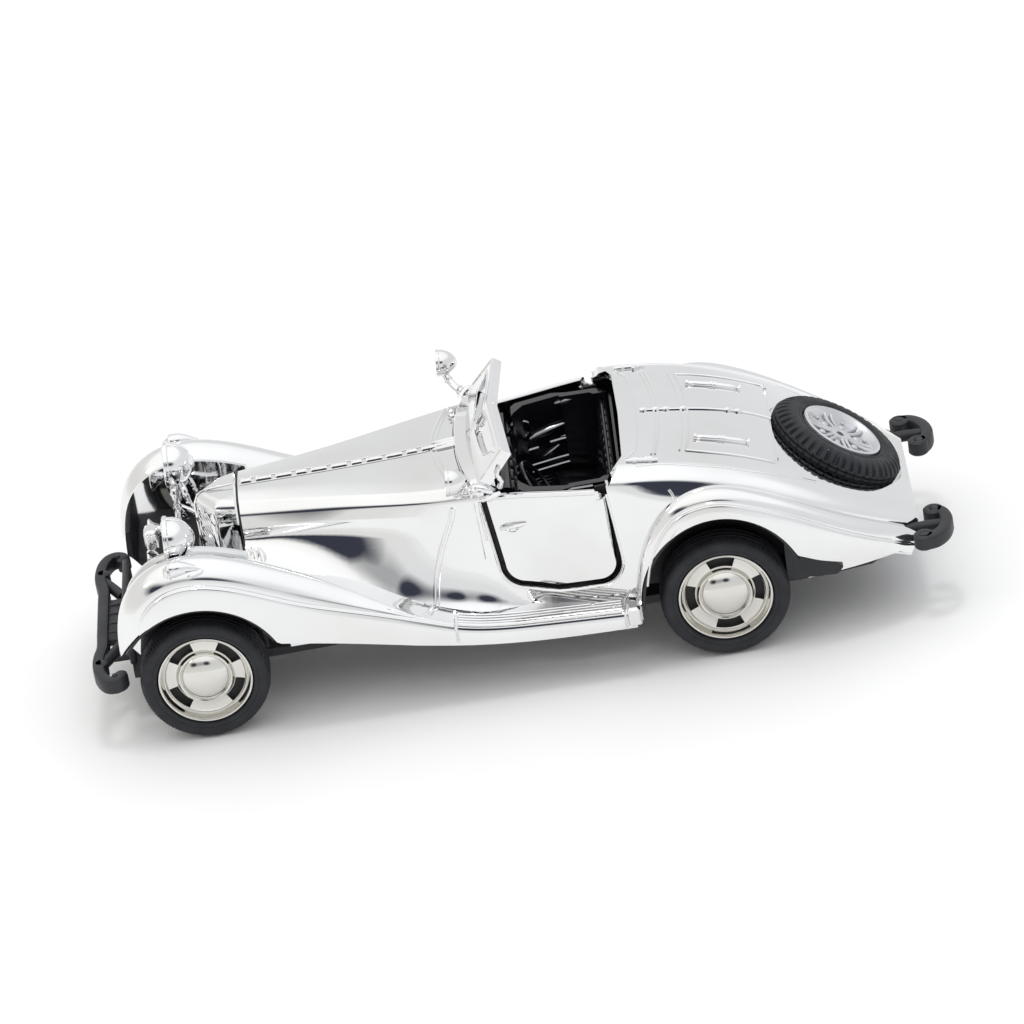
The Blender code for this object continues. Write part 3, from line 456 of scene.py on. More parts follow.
def moulded(name, color, roughness, grain, specular=0.5):
    """Moulded plastic with a fine grain and slightly uneven colour."""
    look = Look(name, color, roughness, 0, specular)
    pale = tuple(min(1, c * 1.35 + 0.004) for c in color)
    look.drive("Base Color", look.noise(120, 4), (0.35, color), (0.8, pale))
    look.drive("Roughness", look.noise(400), (0.3, roughness * 0.88), (0.75, roughness * 1.12))
    return look.bump((look.noise(3200, 2), grain, 0.00004))


def dusted_rubber():
    """Tyre rubber with the odd speck of dust."""
    look = Look("tyre_rubber", (0.02, 0.021, 0.025), 0.62, 0, 0.3)
    cell = look.add("TexVoronoi", {"Scale": 520, "Vector": look.coords}, "Distance")
    specks = look.ramp(cell, (0.035, (0.42, 0.42, 0.43)), (0.07, 0))
    gate = look.ramp(look.noise(170, 2), (0.56, 0), (0.62, 1))
    body = look.ramp(look.noise(300, 4), (0.3, (0.017, 0.018, 0.022)),
                     (0.8, (0.031, 0.032, 0.037)))
    look.drive("Base Color", look.mix("ADD", body, look.mix("MULTIPLY", specks, gate)))
    look.drive("Roughness", look.noise(700), (0.3, 0.52), (0.75, 0.74))
    return look.bump((look.noise(2600), 0.35, 0.00006))


def silver_plastic():
    look = Look("silver_grey_plastic", (0.60, 0.605, 0.625), 0.32, 0.75)
    look.drive("Roughness", look.noise(500, 4), (0.3, 0.24), (0.75, 0.42))
    return look.bump((look.noise(2400, 2), 0.2, 0.00004))


CHROME = plated("mirror_plating", (0.815, 0.82, 0.825), 0.025, 0.075)
CHROME_TRIM = plated("trim_plating", (0.80, 0.80, 0.81), 0.03, 0.09, 0.2)
NICKEL = plated("warm_wheel_plating", (0.70, 0.69, 0.655), 0.04, 0.11)
# Black plastic given a grey metallic colour: painted sheen that brightens the cabin's grips and ribs.
SHEEN_PAINTED_PLASTIC = plated("painted_sheen_black_plastic", (0.27, 0.275, 0.29), 0.08, 0.16)
# A darker copy of the plating: shade painted into its colour, for the grille's back plate.
SHADE_PAINTED_CHROME = plated("shadowed_plating", (0.34, 0.35, 0.37), 0.12, 0.3)
STEEL = plated("plain_steel", (0.55, 0.55, 0.56), 0.22, 0.4)
BLACK = moulded("satin_black_plastic", (0.020, 0.021, 0.025), 0.48, 0.25, 0.35)
GLOSS = moulded("glossy_black_plastic", (0.005, 0.005, 0.008), 0.15, 0.06, 0.6)
# Near-black colour for slots, gaps and backings: painted shade where recesses fall dark.
RECESS_SHADE = moulded("painted_recess_shade", (0.006, 0.006, 0.007), 0.6, 0.2)
NYLON = moulded("white_nylon", (0.74, 0.72, 0.64), 0.5, 0.2)
RUBBER = dusted_rubber()
SILVER = silver_plastic()


# ---------------------------------------------------------------- studio and camera

def studio():
    scene = bpy.context.scene
    scene.view_settings.view_transform = "Standard"
    scene.world = bpy.data.worlds.new("studio")
    sky = Tree(scene.world)
    sky.nodes.clear()
    split = sky.add("SeparateXYZ", {0: sky.add("TexCoord", {}, "Generated")}, "Z")
    x, y, z = split.node.outputs
    around = sky.ramp(sky.math("MULTIPLY_ADD", z, 0.5, 0.5), (0, 1), (0.5, 0.97), (0.56, 0.88),
                      (0.68, 0.85), (0.79, 0.89), (0.86, 1.16), (1, 1.27))
    sides = sky.ramp(sky.math("MULTIPLY_ADD", x, 0.5, 0.5), (0.1, (1, 0.985, 0.955)),
                     (0.7, (0.975, 0.985, 1)))

    # Two darkened parts of the room behind and beside the camera, and a haze between them
    from_middle = sky.math("ADD", x, 0.2)
    lift = sky.math("DIVIDE", sky.math("SUBTRACT", z, 0.47), 0.2)

    def dark(across, start):
        away = sky.math("SQRT", sky.math("ADD", sky.math("MULTIPLY", across, across),
                                         sky.math("MULTIPLY", lift, lift)))
        return sky.ramp(away, (start, 1), (1, 0))

    apart = sky.math("SUBTRACT", sky.math("ABSOLUTE", from_middle), 0.32)
    lobes = dark(sky.math("DIVIDE", apart, 0.26), 0.4)
    haze = sky.math("MULTIPLY", dark(sky.math("DIVIDE", from_middle, 0.62), 0.3), 0.5)
    amount = sky.math("MULTIPLY", sky.math("MAXIMUM", lobes, haze), sky.math("LESS_THAN", y, 0))
    color = sky.mix("MIX", sky.mix("MULTIPLY", around, sides), (0.045, 0.05, 0.07, 1), amount)
    sky.add("OutputWorld", {0: sky.add("Background", {"Color": color, "Strength": 1})})

    paper = Look("pale_paper", (0.93, 0.93, 0.93), 0.7)
    paper.drive("Base Color", paper.noise(40), (0.3, 0.925), (0.7, 0.94))
    corners = ((-2500, -2500), (2600, -2500), (2600, 2500), (-2500, 2500))
    build("floor", [(s, y, -0.02) for s, y in corners], [(0, 1, 2, 3)], paper.material)
    for name, at, size, power in (("top_softbox", (0.05, -0.05, 1), 0.16, 1.2),
                                  ("side_softbox", (-0.8, -0.25, 0.75), 0.22, 0.5)):
        lamp = bpy.data.lights.new(name, "AREA")
        lamp.shape, lamp.size, lamp.energy = "SQUARE", size, power
        made = bpy.data.objects.new(name, lamp)
        made.location = at
        made.rotation_mode = "QUATERNION"
        made.rotation_quaternion = (Vector(at) - Vector((0, 0, 0.02))).to_track_quat("Z", "Y")
        scene.collection.objects.link(made)


def camera():
    """The camera fitted to the photograph; its focal length is 6384 px for a 1024 px frame."""
    data = bpy.data.cameras.new("view")
    data.sensor_width, data.lens = 36, 6384.154 / 1024 * 36
    data.clip_start, data.clip_end = 0.05, 20
    made = bpy.data.objects.new("view", data)
    right, up, back = ((0.98684355, -0.04530103, -0.15520186),
                       (0.15836637, 0.46414016, 0.87148953),
                       (0.03255604, -0.88460258, 0.46520788))
    turn = Matrix((right, up, back)).transposed().to_4x4()
    made.matrix_world = Matrix.Translation((0.033816, -0.912690, 0.499863)) @ turn
    bpy.context.scene.collection.objects.link(made)
    bpy.context.scene.camera = made


# ---------------------------------------------------------------- body surfaces

CENTRE_Z = smooth((9, 33.1), (40, 33.7), (70, 34.8), (81, 33.6), (95.4, 29.3), (106, 22.2),
                  (116.4, 15.8))
EDGE_Y = smooth((9, 5.3), (24, 9), (40, 13.5), (50, 15.4), (60, 17), (70, 17.9), (87, 17.6),
                (97, 16.4), (107, 14.3), (116.4, 11.5))
EDGE_Z = smooth((9, 32.4), (40, 33), (68, 34.2), (77, 33.5), (87, 31.1), (97, 27),
                (107, 21.2), (116.4, 15.6))
ROLL_Y = smooth((9, 6.9), (24, 10.3), (40, 14.9), (50, 16.5), (60, 18.8), (69, 20.4), (77, 20.2),
                (87, 20.2), (97, 19), (107, 16.9), (116.4, 13.6))
ROLL_Z = smooth((9, 30.9), (24, 31.2), (40, 31.6), (60, 32.1), (69, 33.2), (77, 32.6),
                (87, 30.3), (97, 26.3), (107, 20.7), (116.4, 15.1))
WAIST_Y = smooth((9, 7.8), (24, 11.2), (40, 15.4), (50, 16.8), (60, 19.1), (69, 21), (77, 22),
                 (87, 21.5), (97, 20.6), (107, 18.6), (116.4, 15.2))
WAIST_Z = smooth((9, 28.6), (40, 29.2), (60, 29.6), (69, 31), (77, 29), (87, 27.6),
                 (97, 24.8), (107, 19.7), (116.4, 14.4))
FRONT_CREST = ((-12.9, 15.2), (-12.4, 20.5), (-10.2, 26.6), (-5.7, 30.4), (0.3, 31.6), (6.4, 30.5),
               (14, 27.4), (23, 23.1), (32, 18.4), (41, 14.4), (54, 12.6), (69.6, 11.8))
REAR_CREST = ((69.4, 9.6), (70.6, 16.5), (73, 23.2), (77.5, 28.4), (84, 30.1), (91, 28.2),
              (98, 24.6), (105, 20.4), (111, 16.9), (116, 13.8))
BOARD_Z = smooth(*FRONT_CREST[8:])
SKIRT_Z = smooth((10, 16.7), (22, 14.6), (42, 10.6), (57, 9.2), (70, 8.9))
TAIL_SKIRT_Z = smooth((95, 17.6), (97.4, 16.4), (99.6, 15.3), (102, 14.4), (106, 13.1),
                      (111, 12.6), (114, 13.2), (116.4, 14.2))
FLARE_FRONT = smooth((9, 25), (16, 23.2), (24, 20.2), (32, 17), (41, 13.6), (54, 12.5),
                     (70, 11.8))
FLARE_REAR = smooth((70, 12), (80, 20), (90, 22), (104, 17), (116.4, 12.6))
TAIL_NARROWING = smooth((70, 0), (98, 0.1), (104, 0.9), (110, 2.6), (116, 5.6))


def section(s, inset=0, bottom=BODY_BOTTOM, steps=6):
    """Half-widths and heights down the body's half section, its corners eased."""
    soft = blend(s, 56, 76)
    low, sweep = FLARE_FRONT(s) if s < 70 else FLARE_REAR(s), 1 - blend(s, 44, 56)
    waist_y, waist_z, edge_y, edge_z = WAIST_Y(s), WAIST_Z(s), EDGE_Y(s), EDGE_Z(s)
    reach = max(FLARE_REACH * sweep, FENDER_INNER + 0.7 - waist_y if s < 30 else 0)
    lean = blend(s, 8, 14) * (1 - blend(s, 31, 44))
    drop = 4.2 * blend(s, 90, 94) if inset else 0
    corners = [(0, CENTRE_Z(s)), (edge_y * 0.55, (CENTRE_Z(s) + edge_z) / 2 + 0.15),
               (edge_y, edge_z), (ROLL_Y(s), ROLL_Z(s)), (waist_y, waist_z),
               (waist_y + 0.06, waist_z - 2.2)]
    radii = [4, 0.35 + 2 * soft, 0.5 + 1.4 * soft, 0.3 + 1.9 * soft]
    pts = rounded(corners, radii, steps)[:-1]
    top = waist_z - 1.4
    slant = min(0.85, 0.52 * (top - low) / reach) if reach > 0.5 else 0.5
    for k in range(13):
        a = math.pi / 2 * k / 12
        t = math.sin(a) ** 0.91
        out = ((1 - lean) * (1 - math.cos(a) ** 0.91)
               + lean * (slant * t + (1 - slant) * t ** 3.4))
        pts.append((waist_y + 0.04 + 0.26 * t + reach * out, top + (low - top) * t))
    last = len(pts)
    return [(max(0, y - inset), max(z - inset - drop, bottom + 0.04 * (last - i)))
            for i, (y, z) in enumerate(pts)] + [(max(0, pts[-1][0] - inset), bottom)]


def body_ring(s, inset=0, bottom=BODY_BOTTOM, steps=6):
    half = section(s, inset, bottom, steps)
    return [(s, -y, z) for y, z in half[:0:-1]] + [(s, y, z) for y, z in half]


def top_z(s, y):
    """Height of the body's upper surface at a place in plan."""
    half = section(s)
    y = abs(y)
    for (y0, z0), (y1, z1) in zip(half, half[1:]):
        if y0 <= y <= y1:
            return z0 + (z1 - z0) * ((y - y0) / (y1 - y0) if y1 > y0 else 0)
    return half[-1][1]


def side_y(s, z):
    """Half-width of the body at a height, below the roll."""
    half = section(s)[8:]
    for (y0, z0), (y1, z1) in zip(half, half[1:]):
        if z1 <= z <= z0:
            return y0 + (y1 - y0) * ((z0 - z) / (z0 - z1) if z0 > z1 else 0)
    return half[-1][0]


def walk(crest, start, end, count):
    """Places along a crest between two shares of its length, each with the way inward from it."""
    along = [0]
    for (s0, z0), (s1, z1) in zip(crest, crest[1:]):
        along.append(along[-1] + math.hypot(s1 - s0, z1 - z0))
    station, height = (smooth(*[(d, p[j]) for d, p in zip(along, crest)]) for j in (0, 1))
    for t in spread(along[-1] * start, along[-1] * end, count):
        ds, dz = station(t + 0.01) - station(t - 0.01), height(t + 0.01) - height(t - 0.01)
        size = math.hypot(ds, dz)
        yield station(t), height(t), (dz / size, -ds / size)


def in_front_arch(s, z):
    return math.hypot(s, z - TYRE_RADIUS) < ARCH_FRONT_RADIUS


def in_rear_arch(s, z):
    return math.hypot((s - WHEELBASE) / ARCH_REAR[0], (z - TYRE_RADIUS) / ARCH_REAR[1]) < 1


def depth_to(inside, s, z, down):
    """How far one can go from a place before the test holds."""
    far = 0
    while far < 24 and not inside(s + down[0] * far, z + down[1] * far):
        far += 0.25
    low, high = max(0, far - 0.25), far
    for _ in range(8):
        mid = (low + high) / 2
        low, high = (low, mid) if inside(s + down[0] * mid, z + down[1] * mid) else (mid, high)
    return low


def front_fender_section(s, z, inward):
    """Half-widths and depths below the crest, from the inner to the outer edge."""
    flat = blend(s, 16, 40)
    body = min(side_y(s, max(z, 12)), 20.6)
    depth = depth_to(lambda a, b: in_front_arch(a, b) or b < SKIRT_Z(max(a, 8)), s, z, inward)
    round_top = ((FENDER_INNER, 8), (FENDER_INNER, 4.3), (16.3, 2.2), (18, 0.6), (20.2, 0),
                 (22.2, 0.6), (23.5, 2), (23.85, 3), (23.9, 3.35), (24.35, 3.5), (24.6, 4.4),
                 (FENDER_OUTER, max(depth, 5.2)))
    flat_top = ((body - 2, 3), (body - 1.6, 1.4), (body - 1.2, 0.5), (body - 0.6, 0),
                (20.6, 0), (22.6, 0), (23.6, 0.02), (23.9, 0.12), (24, 0.3), (24.35, 0.4),
                (24.65, 0.9), (FENDER_OUTER, max(depth, 2)))
    return [(a + (c - a) * flat, b + (d - b) * flat)
            for (a, b), (c, d) in zip(round_top, flat_top)]


def rear_fender_section(s, z, inward):
    depth = depth_to(lambda a, b: in_rear_arch(a, b) or b < (TAIL_SKIRT_Z(a) if a > 84 else 9),
                     s, z, inward)
    shape = ((15.5, 6), (15.5, 3), (18, 1.2), (20, 0.3), (21.8, 0), (23, 0.35),
             (23.7, 1.1), (23.9, 1.6), (24.2, 1.8), (24.4, 2.1), (24.65, 2.9),
             (FENDER_OUTER, max(depth, 3.4)))
    return [(min(y - TAIL_NARROWING(s), 25.1), d) for y, d in shape]


def fender_rings(crest, profile, count, side):
    rings = []
    for s, z, inward in walk(crest, 0, 1, count):
        shape = profile(s, z, inward)
        inner, outer, deep = shape[0][0], shape[-1][0], shape[-1][1]
        fine = [(inner, deep), (inner, min(shape[0][1], (deep + shape[1][1]) / 2))]
        fine += curve_through(shape[1:11], 40)
        fine += [(outer, min(shape[-2][1] + 1.2, deep * 0.9)), (outer, deep)]
        rings.append([(s + inward[0] * d, side * y, z + inward[1] * d) for y, d in fine])
    return rings


def door_outline(grow):
    """The door's outline in side view, made larger or smaller all round."""
    front, rear = DOOR_FRONT - grow, HINGE_STATION + 0.15 + grow
    low_rear = HINGE_STATION + 1.15 + grow
    top, low, corner = BELT_Z + grow + (8 if grow > 0 else 0), 15.4 - grow, 3.4 + grow
    return ([(rear, top), (front - 0.3, top), (front - 0.3, BELT_Z - 1)]
            + arc((front + 1 + corner, low + 1 + corner), (corner, corner), 180, 262, 12)
            + [((front + rear) / 2, low)]
            + arc((low_rear - corner, low + 0.6 + corner), (corner, corner), 278, 356, 12))


def rod_tool(start, end, radius, steps=48):
    start, end = np.array(start, float), np.array(end, float)
    half = np.linalg.norm(end - start) / 2
    return turned("rod_tool", [(0, half), (radius, half), (radius, -half), (0, -half)],
                  (start + end) / 2, end - start, steps=steps)


def block_tool(low, high):
    heap = Heap()
    heap.block(low, high, 0.001)
    return build("block_tool", heap.points, heap.faces)


HINGE_Y = side_y(HINGE_STATION, 24) - 1.1


def hinge_rod(side, low, high, radius, steps=48):
    y = side * HINGE_Y
    return rod_tool((HINGE_STATION, y, low), (HINGE_STATION, y, high), radius, steps)


def spare_place(along):
    """A place on the spare wheel's axis, down from its face."""
    return (SPARE[0] - along * math.sin(SPARE_TILT), 0, SPARE[1] - along * math.cos(SPARE_TILT))


def cockpit_tool():
    half = [(50.2, 0), (50.4, 8), (51.4, EDGE_Y(51.4) - 1.5)]
    half += [(s, side_y(s, BELT_Z - 0.5) - 1.7) for s in (54, 58, 62, 66)]
    half += [(69, 17.6), (70.4, 16.2), (DECK_FRONT, 14.4), (DECK_FRONT + 0.3, 0)]
    return slab("cockpit_tool", both_halves(half), 8, 45)


def plated_body():
    stations = [9, 9.15, 9.4] + spread(10.2, 115.2, 96) + [115.9, BODY_END]
    shell = loft("plated_body", [body_ring(s) for s in stations], CHROME)
    fenders = []
    for side in (-1, 1):
        for crest, profile, count in ((FRONT_CREST, front_fender_section, 120),
                                      (REAR_CREST, rear_fender_section, 84)):
            fenders.append(loft("fender", fender_rings(crest, profile, count, side)))
    combine(shell, fenders, "UNION")
    tools = [loft("hollow", [body_ring(s, SKIN, 4, 2) for s in
                             (10.5, 20, 30, 40, 50, 60, 70, 80, 88, 94, 100, 106, 111, 114.6)])]
    for side in (-1, 1):
        for middle, radii in ((0, (ARCH_FRONT_RADIUS,) * 2), (WHEELBASE, ARCH_REAR)):
            tools.append(prism("arch", arc((middle, TYRE_RADIUS), radii, -10, 350, 97)[:-1],
                               *sorted((side * FENDER_INNER, side * 30))))
        tools.append(prism("door_opening", door_outline(0.7), *sorted((side * 12.5, side * 30))))
        tools.append(hinge_rod(side, 17, 40, 1.35))
        low, high = sorted((side * 14.6, side * 17.2))
        tools.append(block_tool((111.4, low, 12.7), (125, high, 15.1)))
    tools.append(rod_tool(spare_place(SPARE_WIDTH + 0.3), spare_place(-12),
                          SPARE_RADIUS + 0.5, 96))
    tools.append(prism("belt_tool", [(49.6, 45), (48.7, 33.2), (49.2, BELT_Z + 0.4),
                                     (68.4, BELT_Z + 0.4), (69.2, 33.4), (DECK_FRONT - 0.6, 34.4),
                                     (DECK_FRONT, 45)], -30, 30))
    tools.append(cockpit_tool())
    fit(combine(shell, tools, angle=38), "plated_diecast", "body_shell")


def doors():
    """The door panels with their hinge knuckles."""
    levels = spread(13, BELT_Z, 26)
    stations = spread(DOOR_FRONT - 2, HINGE_STATION + 1.3, 34)
    for name, side in SIDES.items():
        front = [[(s, side * side_y(s, z), z) for z in levels] for s in stations]
        back = [[(s, side * (side_y(s, z) - 1), z) for z in levels] for s in stations]
        panel = sheet_solid(f"plated_door_{name}", front, back, CHROME)
        combine(panel, [prism("outline", door_outline(-0.25), -30, 30)], "INTERSECT")
        combine(panel, [hinge_rod(side, 19.4, 30.4, 1.1)], "UNION")
        combine(panel, [hinge_rod(side, 10, 40, 0.7, 24)])
        fit(panel, "plated_diecast", f"door_{name}", body=f"door_{name}")


def hinge_pins():
    """The doors' headed pins."""
    pin = [(0, 6.8), (0.3, 6.75), (0.45, 6.5), (0.45, -6.5), (0.3, -6.8), (0, -6.8)]
    for name, side in SIDES.items():
        fit(turned(f"hinge_pin_{name}", pin, (HINGE_STATION, side * HINGE_Y, 24.2), UP, STEEL, 24),
            "steel", f"door_hinge_pin_{name}")


# ---------------------------------------------------------------- mouldings on the body

def on_top(points, lift=0):
    """Places on the body's upper surface over (station, sideways) points."""
    return [(s, y, top_z(s, y) + lift) for s, y in points]


def on_side(points, out=0):
    """Places on the body's right side over (station, height) points."""
    return [(s, side_y(s, z) + out, z) for s, z in points]


def straight(start, end, count):
    a, b = np.array(start, float), np.array(end, float)
    return [a + (b - a) * t for t in spread(0, 1, count)]


def seam(heap, start, end, count, lift, radius, sides=10, flat=1):
    """A straight bar laid on the body between two places in plan."""
    heap.tube(on_top(straight(start, end, count), lift), radius, sides, flat)


def bonnet_hinge(heap):
    """The long hinge down the middle of the bonnet: knuckles between two fine edge lines."""
    for y in (-0.95, 0.95):
        seam(heap, (9.6, y), (40.6, y), 24, 0.02, 0.13, 6)
    slots, s, k = Heap(), 9.9, 0
    while s < 40:
        end = s + (2.55 if k % 3 else 1.7)
        seam(heap, (s, 0), (end, 0), 5, 0.1, [0.34, 0.52, 0.52, 0.52, 0.34], flat=0.8)
        for at in (s + 0.15, end - 0.15):
            seam(heap, (at - 0.14, 0), (at + 0.14, 0), 3, 0.1, 0.6, flat=0.8)
        # Near-black tubes in the slots beside each knuckle: painted shade in the gaps.
        for y in (-0.66, 0.66):
            seam(slots, (s + 0.1, y), (end - 0.1, y), 5, 0.06, 0.17, 6)
        s, k = end + 0.75, k + 1
    slots.piece("bonnet_hinge_slots", RECESS_SHADE, "black_plastic")


def cowl_trim(heap):
    half = [(40.9, 0.3), (41.2, 3), (41.9, 7), (42.9, 11), (43.6, 13.6), (43.6, 14.8)]
    for shift in (0, 0.75):
        heap.both(on_top(curve_through([(s + shift, y) for s, y in half], 28), 0.03), 0.17, 6)
    for y in (-1.15, 0, 1.15):
        seam(heap, (41.2, y), (46.6, y * 0.8), 8, 0.12,
             [0.2, 0.36, 0.4, 0.42, 0.44, 0.46, 0.46, 0.3])
    base = top_z(44.9, 10.4)
    heap.both([(44.9, 10.4, base + h) for h in (-0.2, 0.25, 0.5, 0.9)], [0.75, 0.7, 0.42, 0.3], 12)
    # The upright rib where bonnet side meets cowl
    rib = [(43.3, 30.5), (42.6, 28.6), (41.4, 26), (40.2, 23.4), (39.2, 20.6), (38.5, 18), (38, 15.6)]
    rib = on_side(curve_through(rib, 26), 0.05)
    heap.both(rib, 0.27)
    heap.both([(s + 0.75, y, z) for s, y, z in rib], 0.12, 6)


def opening_lip(heap):
    """Raised rim around each door opening."""
    front, rear = DOOR_FRONT - 0.95, HINGE_STATION + 1.1
    line = [(front - 0.3, 31), (front - 0.3, 28), (front - 0.1, 24)]
    line += [(s, z) for s, z in door_outline(0.95) if z < BELT_Z - 0.4]
    line += [(rear + 0.6, 24), (rear + 0.3, 28), (rear, 31.2)]
    heap.both(on_side(curve_through(line, 90), 0.02), 0.2)


def running_boards(heap):
    for y, r in ((20.9, 0.24), (21.75, 0.24), (22.6, 0.24), (23.45, 0.24), (24.25, 0.3)):
        heap.both([(s, y, BOARD_Z(s) + 0.06) for s in spread(41.4, 67.4, 24)], r)
    for s in (41, 67.8):
        line = [(s, y, BOARD_Z(s) + 0.05) for y in spread(20.3, 24.7, 6)]
        heap.both(line + [(s, 24.85, BOARD_Z(s) - d) for d in (0.5, 1.6, 2.9)], 0.22)
    for side in (-1, 1):
        low, high = sorted((side * 22.2, side * 25.05))
        heap.block((68.1, low, 9.1), (70.3, high, 12.5), 0.4)
    # Hub-shaped ends of the board, under the door's rear corner
    for s, y, r in ((66.2, 22.7, 0.55), (62.9, 21.4, 0.4)):
        heap.both([(s, y, BOARD_Z(s) + h) for h in (-0.1, 0.35, 0.5)], [r, r, r * 0.5], 12)


def fender_beads(heap):
    """The rolled bead that runs along the outer edge of each fender."""
    for crest, profile, share, k, out, radius in (
            (FRONT_CREST, front_fender_section, (0.02, 0.70, 90), 8, 0.12, 0.24),
            (REAR_CREST, rear_fender_section, (0.1, 0.93, 70), 7, 0.1, 0.2)):
        line = []
        for s, z, inward in walk(crest, *share):
            y, d = profile(s, z, inward)[k]
            s, z = s + inward[0] * d, z + inward[1] * d
            if math.hypot(s, z - TYRE_RADIUS) > ARCH_FRONT_RADIUS + 0.25:
                line.append((s, y + out, z))
        heap.both(line, radius)


def parking_lamps(heap):
    spine = [(-2.9, 29.7), (-2.4, 30.55), (-1.6, 31.05), (-0.6, 31.1), (0.7, 30.95), (2, 30.6),
             (3.2, 30.2)]
    heap.both([(s, 22.3, z) for s, z in spine], [0.5, 1.1, 1.3, 1.2, 0.85, 0.5, 0.2], 14)
    for reach in (1.36, 0.9):
        heap.both([(-2.3 + 0.02 * k, 22.3 + reach * math.cos(a), 30.7 + reach * math.sin(a))
                   for k, a in enumerate(spread(-0.3, math.pi + 0.3, 16))], 0.2, 6)
    foot = ((-2.4, 20.8), (0.4, 20.9), (2.6, 21.6), (2.9, 22.9), (0.6, 23.6))
    heap.both(curve_through([(s, y, 30.6 - 0.28 * (y - 21)) for s, y in foot], 14), 0.28, 6)


def deck_trim(heap):
    """Folded-hood cover and boot lid: their double seams, hinges, grips and edge mouldings."""
    def across(middle, end, wide, lift, radius):
        line = [(middle + (end - middle) * (abs(y) / wide) ** 2.2, y)
                for y in spread(-wide, wide, 24)]
        heap.tube(on_top(line, lift), radius, 6)

    across(74.4, 73.5, 13.2, 0.02, 0.17)
    for shift in (0, 0.6):
        across(77.3 + shift, 75.9 + shift, 14.7, 0.04, 0.2)
        across(81.6 + shift * 1.7, 80.4 + shift * 1.7, 13.6, 0.04, 0.2)
    across(95.5, 95.5, 12.2, 0.03, 0.17)
    heap.both(on_top([(73.5, 13.2), (72.6, 14.4), (72, 15.6)], 0.03), 0.15, 6)
    lid = [(81.4, 13.5), (84, 13.7), (88, 13.75), (92, 13.7), (94.6, 13.6), (95.3, 13.2),
           (95.5, 12.2)]
    heap.both(on_top(curve_through(lid, 30), 0.05), 0.26)
    heap.both(on_top([(s, 9.6) for s in (82.9, 83.3, 84.4, 87, 89.8, 91, 91.5)], 0.1),
              [0.3, 0.56, 0.64, 0.64, 0.64, 0.56, 0.3], 12)
    for s in (83.1, 86.9, 87.5, 91.3):
        heap.both(on_top([(s - 0.2, 9.6), (s, 9.6), (s + 0.2, 9.6)], 0.16), 0.76, 12)
    # Rounded moulding along the roll, with the latch bar in front of it
    roll = [(73.2, 17.9), (77.4, 17.7), (82.3, 17.9), (87.1, 17.7), (91.9, 17.4), (96.7, 16.5),
            (101, 15.6)]
    heap.both(on_top(curve_through(roll, 44), -0.02), 0.2)
    heap.both(on_top(straight((71.8, 16.4), (76.8, 16.7), 6), 0.22),
              [0.25, 0.38, 0.38, 0.38, 0.38, 0.25], 10)
    for s in (73.2, 75.6):
        heap.both(on_top([(s - 0.3, 16.5), (s + 0.3, 16.6)], 0.24), 0.52, 10)
    z = top_z(75, 16)
    heap.both([(75, 16, z + h) for h in (-0.1, 0.4, 0.55)], [0.4, 0.38, 0.2], 10)
    # Small cast clip standing on the flank behind the pillar
    heap.both(on_side([(77.8, 30.6), (78.2, 29.9), (78.4, 29.2), (78.4, 28.8)], 0.15), 0.22)
    seam(heap, (75.2, 0), (95.6, 0), 22, 0.04, 0.26, 8)
    for s in (75.6, 77.6, 79.2, 82, 89, 90.6):
        seam(heap, (s - 0.55, 0), (s + 0.55, 0), 4, 0.08, [0.3, 0.42, 0.42, 0.3])


def bonnet_joint(heap):
    """Joint between radiator shell and bonnet, and the small fluted brackets below it."""
    # The joint is a near-black tube along the gap: painted shade.
    for side in (-1, 1):
        joint = Heap()
        joint.tube([(9.15, side * (y + 0.02), z + 0.02) for y, z in section(9.2)[::2] if z > 24],
                   0.19, 6)
        joint.piece(f"bonnet_joint_{side}", RECESS_SHADE, "black_plastic")
    for k in range(3):
        s, y = 9.3 + 1.1 * k, 9 + 0.5 * k
        heap.both([(s, y, 25.9), (s + 0.5, y + 1.5, 25.4), (s + 0.6, y + 2.9, 24.1),
                   (s + 0.2, y + 3.7, 22.5)], [0.3, 0.5, 0.5, 0.35], 10)


def inner_walls():
    """Chrome inner faces of the front fenders, and the aprons between fenders and radiator."""
    heap = Heap()
    for side in (-1, 1):
        rings = []
        for s, z, inward in walk(FRONT_CREST, 0.01, 0.45, 60):
            s, z = s + inward[0] * 0.9, z + inward[1] * 0.9
            if s > 10.5:
                break
            low = 12.4 + 3 * (1 - blend(s, -12.2, -9))
            rings.append([(s, side * y, h) for y, h in ((14.75, z), (15.45, z), (15.45, low),
                                                        (14.75, low))])
        heap.loft(rings)
        rings = []
        for s in spread(1.2, 9.6, 12):
            top = [(s, side * y, 21.6 + 3.6 * ((y - 5.6) / 9.3) ** 1.7 + 0.12 * (s - 1.2))
                   for y in spread(5.6, 14.9, 12)]
            rings.append(top + [(s, y, z - 0.6) for s, y, z in top[::-1]])
        fit(loft(f"nose_apron_{side}", rings, CHROME, 50), "plated_diecast")
    heap.piece("fender_inner_walls", CHROME, "plated_diecast")


def jamb_gap_shade():
    """Near-black strips behind the shut lines of the doors: painted shade in the gaps."""
    line = [(DOOR_FRONT - 0.45, z) for z in (31.6, 29, 26, 23)]
    line += [p for p in door_outline(0.2) if p[1] < 20.5]
    line += [(HINGE_STATION + 1.35 - 0.06 * (z - 18), z) for z in (22, 25, 28, 31.4)]
    pts = curve_through(line, 80)
    heap = Heap()
    for side in (-1, 1):
        rings = []
        for i, (s, z) in enumerate(pts):
            ns, nz = (1.15 * n for n in beside(pts, i))
            deep = 2.75 if s > 64 else 1.35
            rings.append([(s + k * ns, side * (side_y(s, z) - d), z + k * nz) for k, d in
                          ((-1, deep), (1, deep), (1, deep + 0.5), (-1, deep + 0.5))])
        heap.loft(rings)
    heap.piece("door_jamb_seals", RECESS_SHADE, "black_plastic")


